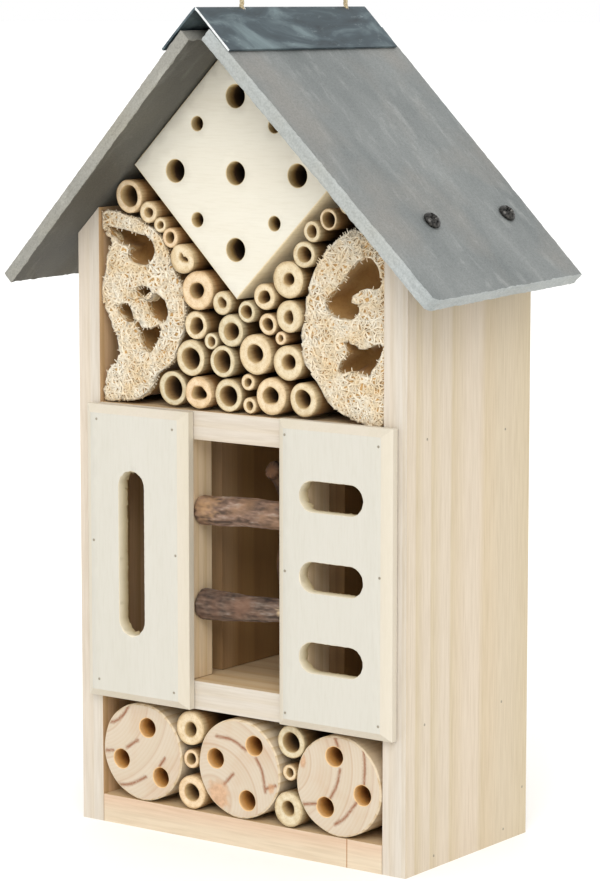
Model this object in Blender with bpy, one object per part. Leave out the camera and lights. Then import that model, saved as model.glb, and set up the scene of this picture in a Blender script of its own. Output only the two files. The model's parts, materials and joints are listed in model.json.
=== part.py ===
"""Insect hotel: a pine case with a slate roof, filled with canes, log slices, loofah and bark sticks.

Units are metres, +Z is up and the open front faces -Y. The origin is the middle of the case's base.
"""

import math
import random

import bpy
from mathutils import Vector

MM = 0.001
GAP = 0.3 * MM

# The case
HALF_WIDTH = 90 * MM
SIDE_THICKNESS = 12 * MM
FRONT_Y = -48.5 * MM
BACK_Y = 48.5 * MM
BACK_THICKNESS = 7 * MM
BOARD_THICKNESS = 12.8 * MM
LOWER_SHELF_TOP = 72.6 * MM
UPPER_SHELF_TOP = 194.6 * MM
INNER_HALF = HALF_WIDTH - SIDE_THICKNESS
INNER_BACK_Y = BACK_Y - BACK_THICKNESS

# The roof: both slates lie at 45 degrees, and their undersides would meet at APEX_Z
APEX_Z = 361 * MM
SLOPE = math.radians(45)
ROOT_TWO = math.sqrt(2)
BEVEL_DROP = GAP * ROOT_TWO

# The slates: each is trimmed by hand, so no two of its sides are quite square.
# Side, way to the back, thickness, then corners as (down the slope, y) in millimetres.
SLATES = (
    ("left", -1, 6.0 * MM, [(4.0, -78.6), (159.6, -69.0), (156.4, 50.8), (4.0, 51.4)]),
    ("right", 1, 6.8 * MM, [(4.0, -77.6), (158.4, -69.4), (160.2, -66.0), (156.2, 51.2), (4.0, 51.6)]),
)

# The roof screws
SCREW_DOWN_SLOPE = (HALF_WIDTH - SIDE_THICKNESS / 2) * ROOT_TWO
SCREW_Y = 29.5 * MM
SCREW_SHANK_RADIUS = 1.6 * MM
SCREW_HOLE_RADIUS = 2.1 * MM
SCREW_HEAD_RADIUS = 4.2 * MM
SCREW_HEAD_HEIGHT = 2.6 * MM
SCREW_BITE = 6 * MM

# The ridge cap
CAP_INNER_Z = APEX_Z + (6.8 * MM + GAP) * ROOT_TWO
CAP_SHEET = 1.0 * MM
CAP_FLAP = 26 * MM
CAP_FRONT_Y = -77.4 * MM
CAP_REAR_Y = 47.4 * MM

# The hanging cord. Its route is (to the back, up), as shares of its half span and its rise.
CORD_RADIUS = 1.1 * MM
CORD_FRONT_Y = -44.5 * MM
CORD_REAR_Y = 32.7 * MM
CORD_TOP_Z = 440 * MM
CORD_ROUTE = [(-1.0, 0.0), (-1.0, 0.09), (-0.93, 0.24), (-0.62, 0.58), (-0.3, 0.87), (0.0, 1.0)]

# The middle bay: a front post and a partition on each side of it
BAY_HALF = 26.5 * MM
POST_WIDTH = 12 * MM
POST_DEPTH = 15.5 * MM
PARTITION_FRONT_Y = -23.5 * MM
PARTITION_SETBACK = 1.5 * MM

# The front panels
PANEL_THICKNESS = 6.8 * MM
PANEL_CHAMFER_DEPTH = 3.1 * MM
PANEL_SIDE_CHAMFER = 4.2 * MM
PANEL_END_CHAMFER = 3.6 * MM
LEFT_PANEL_EDGES = (-82.2 * MM, -24.2 * MM, 60.0 * MM, 194.2 * MM)
RIGHT_PANEL_EDGES = (25.8 * MM, 85.6 * MM, 60.2 * MM, 195.4 * MM)
LEFT_SLOT_CENTRE = (-54.7 * MM, 128.0 * MM)
LEFT_SLOT_LENGTH = 75 * MM
LEFT_SLOT_WIDTH = 14.4 * MM
RIGHT_SLOT_X = 55.4 * MM
RIGHT_SLOT_HEIGHTS = (163.3 * MM, 128.0 * MM, 92.7 * MM)
RIGHT_SLOT_LENGTH = 33.4 * MM
RIGHT_SLOT_WIDTH = 13.4 * MM

# The drilled block stands on its corner
BLOCK_CENTRE = Vector((-0.4 * MM, 302.3 * MM))
BLOCK_HALF_DIAGONAL = 57.0 * MM
BLOCK_BACK_Y = 36 * MM
BLOCK_HOLES_CENTRE = Vector((-0.8 * MM, 300.2 * MM))
BLOCK_HOLE_DEPTH = 60 * MM
WIDE_HOLE_RADIUS = 5.1 * MM
WIDE_HOLE_ARM = 33.3 * MM
NARROW_HOLE_RADIUS = 3.2 * MM
NARROW_HOLE_ARM = 21 * MM

# The log slices
LOG_RADIUS = 22.6 * MM
LOG_CENTRE_Z = BOARD_THICKNESS + GAP + LOG_RADIUS
LOG_FRONT_Y = -49.0 * MM
LOG_BACK_Y = 38 * MM
LOG_HOLE_RADIUS = 4.5 * MM
LOG_HOLE_DEPTH = 60 * MM

# Each log: its centre's x, then its holes from that centre, in millimetres.
LOGS = {
    "log_left": (-54.6, [(3.1, 11.7), (-12.1, -4.7), (10.7, -10.3)]),
    "log_middle": (0.5, [(8.6, 11.7), (-13.0, 3.1), (4.7, -13.7)]),
    "log_right": (54.8, [(-2.1, 13.0), (-6.9, -10.2), (12.9, -2.1)]),
}

# The canes
CANE_SIDES = 12
CANE_BACK_Y = 39.5 * MM

# Each cane: x, z, outer diameter and bore in millimetres, as it is pushed into its bay by hand.
UPPER_CANES = [
    (-60.6, 288.0, 15.5, 9.5),
    (-49.5, 281.5, 10.0, 4.4),
    (-37.0, 269.5, 9.2, 4.8),
    (-29.6, 260.0, 13.4, 3.4),
    (-21.5, 248.0, 17.6, 7.2),
    (-9.8, 241.5, 10.8, 4.4),
    (4.6, 239.5, 9.8, 5.8),
    (-23.6, 232.5, 12.8, 7.2),
    (-4.2, 231.5, 14.4, 7.8),
    (-26.0, 219.0, 16.4, 9.6),
    (-7.0, 217.5, 14.2, 9.4),
    (9.7, 222.5, 18.0, 8.0),
    (14.9, 247.5, 11.8, 5.8),
    (27.3, 256.0, 16.8, 5.4),
    (35.8, 267.0, 11.8, 6.8),
    (40.2, 275.6, 9.4, 5.2),
    (47.4, 281.5, 9.6, 6.6),
    (15.5, 235.0, 10.0, 5.4),
    (27.5, 239.5, 14.4, 5.2),
    (26.8, 219.2, 16.0, 6.8),
    (-37.0, 203.5, 16.0, 10.2),
    (-21.6, 203.0, 14.8, 6.8),
    (-6.4, 203.7, 15.4, 9.2),
    (18.3, 204.0, 16.8, 7.8),
    (35.8, 203.7, 15.2, 8.0),
]
LOWER_CANES = [
    (-27.2, 50.4, 16.0, 6.4),
    (-25.8, 21.1, 15.8, 7.8),
    (28.2, 51.5, 15.2, 8.8),
    (27.1, 21.2, 16.2, 6.4),
    (-27.6, 36.1, 8.8, 5.0),
]

# The loofah slices: each outline, then its chambers, as (x, z) in millimetres.
LOOFAH_FRONT_Y = -47.0 * MM
LOOFAH_BACK_Y = 14 * MM
PRESS_GAP = 1.3 * MM
LOOFAHS = {
    "left_loofah": (
        [(-76, 281), (-62, 280), (-46, 273), (-36, 262), (-31, 246), (-30, 233), (-35, 218), (-47, 205),
         (-58, 195.5), (-77, 195.5), (-75, 212), (-69, 222), (-74, 238), (-77, 256)],
        [
            [(-70, 270), (-58, 270), (-49, 263), (-53, 257), (-63, 258)],
            [(-49, 246), (-42, 240), (-44, 230), (-50, 220), (-56, 232), (-55, 241)],
        ],
    ),
    "right_loofah": (
        [(76.5, 197), (76.5, 258), (60, 279.5), (53, 277), (43, 268), (36, 254), (33, 240), (32, 228),
         (36, 217), (43, 206), (52, 196.5)],
        [
            [(46, 243), (50, 254), (58, 263), (68, 265), (72, 259), (63, 252), (60, 242), (53, 238)],
            [(54, 216), (57, 228), (66, 231), (73, 228), (67, 218), (60, 212)],
        ],
    ),
}

# The sticks: knots of each one's middle line, then its radius at the start and at the end, in millimetres.
STICKS = {
    "upper_stick": ([(-26.1, -40.6, 149.0), (0, -40.9, 150.1), (26.1, -40.6, 150.6)], 7.3, 6.9),
    "lower_stick": ([(-26.1, -39.8, 106.2), (-4, -39.6, 106.6), (26.1, -40.0, 109.0)], 8.0, 5.2),
    "crooked_stick": (
        [(12, -20, 74.6), (9.9, -22, 95), (11.5, -22.5, 109), (8.9, -24, 124), (12, -25, 142), (11, -26, 158),
         (8.8, -30, 167), (7.9, -34.5, 169.8)],
        5.2,
        4.4,
    ),
}

PALETTE = {
    "pine": ("E2D3BA", 0.62, 0.0),
    "pine_end": ("ECE0D0", 0.62, 0.0),
    "panel_board": ("EAE6D8", 0.6, 0.0),
    "cane": ("DCC8A0", 0.55, 0.0),
    "log_wood": ("E9D9C0", 0.65, 0.0),
    "bark": ("7C6350", 0.85, 0.0),
    "loofah": ("E8DCC0", 0.9, 0.0),
    "slate": ("8A9090", 0.7, 0.0),
    "ridge_metal": ("646F73", 0.45, 0.8),
    "screw_steel": ("2A2A2A", 0.4, 0.8),
    "twine": ("C0AC86", 0.9, 0.0),
}


def clear_scene():
    for thing in list(bpy.data.objects):
        bpy.data.objects.remove(thing, do_unlink=True)


def linear(channel):
    return channel / 12.92 if channel <= 0.04045 else ((channel + 0.055) / 1.055) ** 2.4


def material(name):
    found = bpy.data.materials.get(name)
    if found:
        return found
    hex_colour, roughness, metallic = PALETTE[name]
    made = bpy.data.materials.new(name)
    made.use_nodes = True
    shader = made.node_tree.nodes["Principled BSDF"]
    channels = [int(hex_colour[i : i + 2], 16) / 255 for i in (0, 2, 4)]
    shader.inputs["Base Color"].default_value = [linear(c) for c in channels] + [1.0]
    shader.inputs["Roughness"].default_value = roughness
    shader.inputs["Metallic"].default_value = metallic
    return made


def add_object(name, points, faces, material_name, parent=None):
    mesh = bpy.data.meshes.new(name)
    mesh.from_pydata([tuple(p) for p in points], [], faces)
    mesh.materials.append(material(material_name))
    mesh.update()
    made = bpy.data.objects.new(name, mesh)
    bpy.context.scene.collection.objects.link(made)
    made.parent = parent
    return made


def ring_faces(rings, sides, closed=False):
    """Quads between successive rings of points, each ring counter-clockwise seen from the last one."""
    faces = []
    pairs = rings if closed else rings - 1
    for ring in range(pairs):
        here = ring * sides
        after = (ring + 1) % rings * sides
        for i in range(sides):
            j = (i + 1) % sides
            faces.append((here + i, here + j, after + j, after + i))
    return faces


def outward(made):
    """Turns the faces outward when the shape was listed the other way round."""
    mesh = made.data
    mesh.calc_loop_triangles()
    volume = 0.0
    for triangle in mesh.loop_triangles:
        a, b, c = (mesh.vertices[i].co for i in triangle.vertices)
        volume += a.dot(b.cross(c))
    if volume < 0:
        mesh.flip_normals()
    return made


def loft(name, rings, material_name, parent=None):
    """A closed solid through rings of equal point counts, with a flat face at each end."""
    sides = len(rings[0])
    points = [p for ring in rings for p in ring]
    faces = ring_faces(len(rings), sides)
    faces.append(tuple(reversed(range(sides))))
    faces.append(tuple(range(len(points) - sides, len(points))))
    return outward(add_object(name, points, faces, material_name, parent))


def front_prism(name, outline, front_y, back_y, material_name, parent=None):
    """An (x, z) outline carried from front_y to back_y."""
    rings = [[(x, y, z) for x, z in outline] for y in (front_y, back_y)]
    return loft(name, rings, material_name, parent)


def board(name, low, high, material_name="pine"):
    (x0, y0, z0), (x1, y1, z1) = low, high
    outline = [(x0, z0), (x1, z0), (x1, z1), (x0, z1)]
    return front_prism(name, outline, y0, y1, material_name)


def cut(target, cutter):
    cutter.hide_render = True
    cutter.display_type = "WIRE"
    modifier = target.modifiers.new(cutter.name, "BOOLEAN")
    modifier.operation = "DIFFERENCE"
    modifier.solver = "EXACT"
    modifier.object = cutter


def circle(centre, radius, sides, start=0.0):
    x, z = centre
    turn = 2 * math.pi / sides
    angles = [start + turn * i for i in range(sides)]
    return [(x + radius * math.cos(a), z + radius * math.sin(a)) for a in angles]


def stadium(centre, length, width, upright, steps=6):
    """A slot with round ends, as an (x, z) outline."""
    radius = width / 2
    reach = length / 2 - radius
    outline = []
    for end in (1, -1):
        for i in range(steps + 1):
            angle = math.pi * (i / steps - 0.5) + (0 if end > 0 else math.pi)
            across = reach * end + radius * math.cos(angle)
            along = radius * math.sin(angle)
            outline.append((across, along))
    if upright:
        outline = [(-b, a) for a, b in outline]
    return [(centre[0] + a, centre[1] + b) for a, b in outline]


def curve_point(p0, p1, p2, p3, t):
    """The point at share t of the way from p1 to p2, on a smooth curve through all four."""
    a = 2 * p1 + (p2 - p0) * t
    b = (2 * p0 - 5 * p1 + 4 * p2 - p3) * t * t
    c = (3 * p1 - p0 - 3 * p2 + p3) * t * t * t
    return (a + b + c) / 2


def smooth_loop(corners, steps):
    """A closed curve through the corners, steps points to each."""
    loop = []
    count = len(corners)
    for k in range(count):
        p0, p1, p2, p3 = (Vector(corners[(k + i - 1) % count]) for i in range(4))
        for step in range(steps):
            loop.append(curve_point(p0, p1, p2, p3, step / steps))
    return loop


def open_curve(knots, steps):
    """A smooth curve from the first knot to the last, steps points to each stretch."""
    padded = [2 * knots[0] - knots[1]] + knots + [2 * knots[-1] - knots[-2]]
    points = []
    for k in range(len(knots) - 1):
        p0, p1, p2, p3 = padded[k : k + 4]
        for step in range(steps):
            points.append(curve_point(p0, p1, p2, p3, step / steps))
    points.append(knots[-1])
    return points


def carcass():
    top_z = APEX_Z - BEVEL_DROP
    for name, side in (("left_side", -1), ("right_side", 1)):
        outline = [
            (side * INNER_HALF, 0),
            (side * HALF_WIDTH, 0),
            (side * HALF_WIDTH, top_z - HALF_WIDTH),
            (side * INNER_HALF, top_z - INNER_HALF),
        ]
        front_prism(name, outline, FRONT_Y, BACK_Y, "pine")
    inner = INNER_HALF - GAP
    gable = [(-inner, 0), (inner, 0), (inner, top_z - inner), (0, top_z), (-inner, top_z - inner)]
    front_prism("back_board", gable, INNER_BACK_Y, BACK_Y, "pine")
    shelf_back = INNER_BACK_Y - GAP
    levels = (
        ("bottom_board", BOARD_THICKNESS),
        ("lower_shelf", LOWER_SHELF_TOP),
        ("upper_shelf", UPPER_SHELF_TOP),
    )
    for name, top in levels:
        low = (-inner, FRONT_Y, top - BOARD_THICKNESS)
        board(name, low, (inner, shelf_back, top), "pine_end")


def bay_walls():
    """Each side wall of the middle bay is a front post, then a slot, then a partition."""
    floor = LOWER_SHELF_TOP + GAP
    ceiling = UPPER_SHELF_TOP - BOARD_THICKNESS - GAP
    for word, side in (("left", -1), ("right", 1)):
        near, far = sorted((side * BAY_HALF, side * (BAY_HALF + POST_WIDTH)))
        board(f"{word}_post", (near, FRONT_Y, floor), (far, FRONT_Y + POST_DEPTH, ceiling))
        shift = side * PARTITION_SETBACK
        low = (near + shift, PARTITION_FRONT_Y, floor)
        board(f"{word}_partition", low, (far + shift, INNER_BACK_Y - GAP, ceiling))


def chamfered_panel(name, left, right, bottom, top):
    front = FRONT_Y - GAP - PANEL_THICKNESS
    shoulder = front + PANEL_CHAMFER_DEPTH
    back = FRONT_Y - GAP
    across, along = PANEL_SIDE_CHAMFER, PANEL_END_CHAMFER
    face = [
        (left + across, bottom + along),
        (right - across, bottom + along),
        (right - across, top - along),
        (left + across, top - along),
    ]
    edge = [(left, bottom), (right, bottom), (right, top), (left, top)]
    layers = ((face, front), (edge, shoulder), (edge, back))
    rings = [[(x, y, z) for x, z in outline] for outline, y in layers]
    return loft(name, rings, "panel_board")


def panels():
    through = (FRONT_Y - 2 * PANEL_THICKNESS, FRONT_Y + PANEL_THICKNESS)
    left = chamfered_panel("left_panel", *LEFT_PANEL_EDGES)
    slot = stadium(LEFT_SLOT_CENTRE, LEFT_SLOT_LENGTH, LEFT_SLOT_WIDTH, upright=True)
    cut(left, front_prism("left_panel_slot", slot, *through, "panel_board"))
    right = chamfered_panel("right_panel", *RIGHT_PANEL_EDGES)
    for number, z in enumerate(RIGHT_SLOT_HEIGHTS):
        slot = stadium((RIGHT_SLOT_X, z), RIGHT_SLOT_LENGTH, RIGHT_SLOT_WIDTH, upright=False)
        cut(right, front_prism(f"right_panel_slot_{number + 1}", slot, *through, "panel_board"))


def slope_frame(word):
    """An empty at the apex: local X runs down the slope, local Z out of the roof.

    Local Y runs to the back on the right slope, and to the front on the left one.
    """
    frame = bpy.data.objects.new(f"{word}_slope", None)
    bpy.context.scene.collection.objects.link(frame)
    frame.location = (0, 0, APEX_Z)
    frame.rotation_euler = (0, SLOPE, 0 if word == "right" else math.pi)
    return frame


def slate(name, outline, thickness, frame, screw_spots):
    """A slab of stone: outline is (down the slope, y)."""
    rings = [[(u, y, w) for u, y in outline] for w in (0, thickness)]
    slab = loft(name, rings, "slate", frame)
    for number, (u, y) in enumerate(screw_spots):
        hole = circle((u, y), SCREW_HOLE_RADIUS, 12)
        cutter_rings = [[(a, b, w) for a, b in hole] for w in (-thickness, 2 * thickness)]
        cut(slab, loft(f"{name}_hole_{number + 1}", cutter_rings, "slate", frame))


def screw(name, frame, y, slab_thickness):
    """A dome-headed screw through a slate into the bevelled top of a side board."""
    head_base = slab_thickness + GAP
    profile = [
        (SCREW_SHANK_RADIUS, -SCREW_BITE),
        (SCREW_SHANK_RADIUS, head_base),
        (SCREW_HEAD_RADIUS, head_base),
        (SCREW_HEAD_RADIUS, head_base + 0.25 * SCREW_HEAD_HEIGHT),
        (0.75 * SCREW_HEAD_RADIUS, head_base + 0.8 * SCREW_HEAD_HEIGHT),
        (0.3 * SCREW_HEAD_RADIUS, head_base + SCREW_HEAD_HEIGHT),
    ]
    rings = []
    for radius, w in profile:
        rings.append([(u, v, w) for u, v in circle((0, 0), radius, 12)])
    made = loft(name, rings, "screw_steel", frame)
    made.location = (SCREW_DOWN_SLOPE, y, 0)


def pilot_hole(side_board, frame, y):
    hole = circle((SCREW_DOWN_SLOPE, y), SCREW_SHANK_RADIUS + GAP, 12)
    rings = [[(a, b, w) for a, b in hole] for w in (-SCREW_BITE - 2 * GAP, 4 * MM)]
    word = "rear" if y > 0 else "front"
    cut(side_board, loft(f"{side_board.name}_{word}_pilot", rings, "pine", frame))


def roof():
    spots = [(SCREW_DOWN_SLOPE, -SCREW_Y), (SCREW_DOWN_SLOPE, SCREW_Y)]
    for word, to_back, thickness, corners in SLATES:
        frame = slope_frame(word)
        outline = [(u * MM, to_back * y * MM) for u, y in corners]
        slate(f"{word}_slate", outline, thickness, frame, spots)
        side_board = bpy.data.objects[f"{word}_side"]
        for place, y in (("front", -SCREW_Y), ("rear", SCREW_Y)):
            pilot_hole(side_board, frame, to_back * y)
            screw(f"{word}_{place}_screw", frame, to_back * y, thickness)


def ridge_cap():
    outer_z = CAP_INNER_Z + CAP_SHEET * ROOT_TWO
    drop = CAP_FLAP / ROOT_TWO
    lip = CAP_SHEET / ROOT_TWO
    outline = [
        (0, outer_z),
        (-drop, outer_z - drop),
        (-drop + lip, outer_z - drop - lip),
        (0, CAP_INNER_Z),
        (drop - lip, outer_z - drop - lip),
        (drop, outer_z - drop),
    ]
    cap = front_prism("ridge_cap", outline, CAP_FRONT_Y, CAP_REAR_Y, "ridge_metal")
    for word, y in (("front", CORD_FRONT_Y), ("rear", CORD_REAR_Y)):
        ring = circle((0, y), CORD_RADIUS + 0.5 * MM, 10)
        levels = (CAP_INNER_Z - 4 * MM, outer_z + 4 * MM)
        rings = [[(a, b, z) for a, b in ring] for z in levels]
        cut(cap, loft(f"cap_hole_{word}", rings, "ridge_metal"))


def hanging_cord():
    """A loop of twine: up through one hole in the ridge cap, over, and down through the other."""
    middle = (CORD_FRONT_Y + CORD_REAR_Y) / 2
    half = (CORD_REAR_Y - CORD_FRONT_Y) / 2
    start = CAP_INNER_Z - 3 * MM
    rise = CORD_TOP_Z - start
    route = CORD_ROUTE + [(-across, up) for across, up in reversed(CORD_ROUTE[:-1])]
    knots = [Vector((0, middle + a * half, start + b * rise)) for a, b in route]
    curve = bpy.data.curves.new("hanging_cord", "CURVE")
    curve.dimensions = "3D"
    curve.bevel_depth = CORD_RADIUS
    curve.bevel_resolution = 2
    curve.use_fill_caps = True
    curve.materials.append(material("twine"))
    points = open_curve(knots, 4)
    spline = curve.splines.new("POLY")
    spline.points.add(len(points) - 1)
    for point, place in zip(spline.points, points):
        point.co = (*place, 1)
    made = bpy.data.objects.new("hanging_cord", curve)
    bpy.context.scene.collection.objects.link(made)


def drilled_block():
    outline = circle(BLOCK_CENTRE, BLOCK_HALF_DIAGONAL, 4)
    block = front_prism("drilled_block", outline, FRONT_Y, BLOCK_BACK_Y, "panel_board")
    arm = WIDE_HOLE_ARM
    diagonal = NARROW_HOLE_ARM
    wide = [(0, 0), (arm, 0), (-arm, 0), (0, arm), (0, -arm)]
    narrow = [(diagonal, diagonal), (-diagonal, diagonal), (diagonal, -diagonal), (-diagonal, -diagonal)]
    for radius, spots in ((WIDE_HOLE_RADIUS, wide), (NARROW_HOLE_RADIUS, narrow)):
        for spot in spots:
            ring = circle(BLOCK_HOLES_CENTRE + Vector(spot), radius, 12)
            name = f"block_hole_{len(block.modifiers) + 1}"
            hole = front_prism(name, ring, FRONT_Y - 5 * MM, FRONT_Y + BLOCK_HOLE_DEPTH, "panel_board")
            cut(block, hole)


def logs():
    for name, (x, spots) in LOGS.items():
        centre = Vector((x * MM, LOG_CENTRE_Z))
        log = front_prism(name, circle(centre, LOG_RADIUS, 28), LOG_FRONT_Y, LOG_BACK_Y, "log_wood")
        for number, spot in enumerate(spots):
            ring = circle(centre + Vector(spot) * MM, LOG_HOLE_RADIUS, 12)
            back = LOG_FRONT_Y + LOG_HOLE_DEPTH
            hole = front_prism(f"{name}_hole_{number + 1}", ring, LOG_FRONT_Y - 5 * MM, back, "log_wood")
            cut(log, hole)


def off_block(place, radius):
    """How far a cane's centre must move to clear the block."""
    half = BLOCK_HALF_DIAGONAL / ROOT_TWO
    away = place - BLOCK_CENTRE
    turned = Vector((away.x + away.y, away.x - away.y)) / ROOT_TWO
    nearest = Vector((max(-half, min(half, turned.x)), max(-half, min(half, turned.y))))
    miss = turned - nearest
    short = radius + GAP - miss.length
    if short <= 0:
        return Vector((0, 0))
    push = miss.normalized() * short
    return Vector((push.x + push.y, push.x - push.y)) / ROOT_TWO


def inside_case(place, radius, floor, ceiling):
    """The nearest place that clears the case's walls and the slates."""
    wall = INNER_HALF - GAP - radius
    place.x = max(-wall, min(wall, place.x))
    side = 1 if place.x > 0 else -1
    slate_room = (APEX_Z - abs(place.x) - place.y) / ROOT_TWO - radius - GAP
    if slate_room < 0:
        place += Vector((side, 1)) / ROOT_TWO * slate_room
    place.y = max(floor + radius + GAP, min(ceiling - radius - GAP, place.y))
    return place


def settle(canes, fixed, floor, ceiling):
    """Nudges canes apart until each clears its neighbours, the block and the case."""
    places = [Vector((x * MM, z * MM)) for x, z, _, _ in canes]
    radii = [outer / 2 * MM for _, _, outer, _ in canes]
    for _ in range(600):
        for i, place in enumerate(places):
            for j in range(i):
                apart = place - places[j]
                short = radii[i] + radii[j] + GAP - apart.length
                if short > 0:
                    nudge = apart.normalized() * (short / 2)
                    place += nudge
                    places[j] -= nudge
            for centre, radius in fixed:
                apart = place - centre
                short = radii[i] + radius + GAP - apart.length
                if short > 0:
                    place += apart.normalized() * short
            place += off_block(place, radii[i])
            inside_case(place, radii[i], floor, ceiling)
    return places


def cane(name, centre, outer, bore, front_y):
    rings = []
    for radius, y in (
        (outer / 2, front_y),
        (outer / 2, CANE_BACK_Y),
        (bore / 2, CANE_BACK_Y),
        (bore / 2, front_y),
    ):
        rings.append([(x, y, z) for x, z in circle(centre, radius, CANE_SIDES)])
    points = [p for ring in rings for p in ring]
    faces = ring_faces(len(rings), CANE_SIDES, closed=True)
    outward(add_object(name, points, faces, "cane"))


def canes():
    """Returns the settled upper canes as (centre, radius), for the loofah to press against."""
    chance = random.Random(7)
    log_circles = [(Vector((x * MM, LOG_CENTRE_Z)), LOG_RADIUS) for x, _ in LOGS.values()]
    lower_ceiling = LOWER_SHELF_TOP - BOARD_THICKNESS
    bays = (
        (UPPER_CANES, [], UPPER_SHELF_TOP, APEX_Z),
        (LOWER_CANES, log_circles, BOARD_THICKNESS, lower_ceiling),
    )
    upper = []
    number = 0
    for bay_canes, fixed, floor, ceiling in bays:
        places = settle(bay_canes, fixed, floor, ceiling)
        for place, (_, _, outer, bore) in zip(places, bay_canes):
            number += 1
            front = FRONT_Y + chance.uniform(-0.2, 1.6) * MM
            cane(f"cane_{number:02d}", place, outer * MM, bore * MM, front)
            if floor == UPPER_SHELF_TOP:
                upper.append((place, outer / 2 * MM))
    return upper


def loofahs(cane_circles):
    """Squeezed slices of loofah, each shaped round the canes and clear of the case, with its seed chambers."""
    reach = INNER_HALF - GAP
    for name, (corners, chambers) in LOOFAHS.items():
        outline = []
        for point in smooth_loop([Vector(c) * MM for c in corners], 4):
            for centre, radius in cane_circles:
                apart = point - centre
                if apart.length < radius + PRESS_GAP:
                    point = centre + apart.normalized() * (radius + PRESS_GAP)
            point.x = max(-reach, min(reach, point.x))
            point.y = max(UPPER_SHELF_TOP + GAP, min(APEX_Z - abs(point.x) - 2 * GAP, point.y))
            outline.append(point)
        slice_ = front_prism(name, outline, LOOFAH_FRONT_Y, LOOFAH_BACK_Y, "loofah")
        for number, chamber in enumerate(chambers):
            ring = smooth_loop([Vector(c) * MM for c in chamber], 2)
            through = (LOOFAH_FRONT_Y - 5 * MM, LOOFAH_BACK_Y + 5 * MM)
            cut(slice_, front_prism(f"{name}_chamber_{number + 1}", ring, *through, "loofah"))


def stick(name, knots, start_radius, end_radius, seed):
    """A branch along a smooth path, with an uneven outline."""
    chance = random.Random(seed)
    path = open_curve([Vector(knot) * MM for knot in knots], 3)
    rings = []
    for k, centre in enumerate(path):
        t = k / (len(path) - 1)
        ahead = path[min(k + 1, len(path) - 1)] - path[max(k - 1, 0)]
        if k in (0, len(path) - 1) and abs(ahead.x) > ahead.length / 2:
            ahead = Vector((1, 0, 0))
        across = ahead.cross(Vector((0.3, 0.4, 1))).normalized()
        upward = across.cross(ahead).normalized()
        radius = (start_radius + (end_radius - start_radius) * t) * MM
        ring = []
        for i in range(12):
            angle = 2 * math.pi * i / 12
            reach = radius * chance.uniform(0.94, 1.0)
            ring.append(centre + across * reach * math.cos(angle) + upward * reach * math.sin(angle))
        rings.append(ring)
    loft(name, rings, "bark")


def sticks():
    """Two branches wedged between the posts, and a crooked one behind them that ends above the upper one."""
    for seed, (name, (knots, start_radius, end_radius)) in enumerate(STICKS.items(), 3):
        stick(name, knots, start_radius, end_radius, seed)


def build():
    clear_scene()
    carcass()
    bay_walls()
    panels()
    roof()
    ridge_cap()
    hanging_cord()
    drilled_block()
    logs()
    loofahs(canes())
    sticks()


build()
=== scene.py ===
"""Insect hotel: the finished look of every piece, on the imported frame.

Units are metres, +Z is up and the open front faces -Y. Each new piece is built where it stands.
"""

import json
import math
import random

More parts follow.
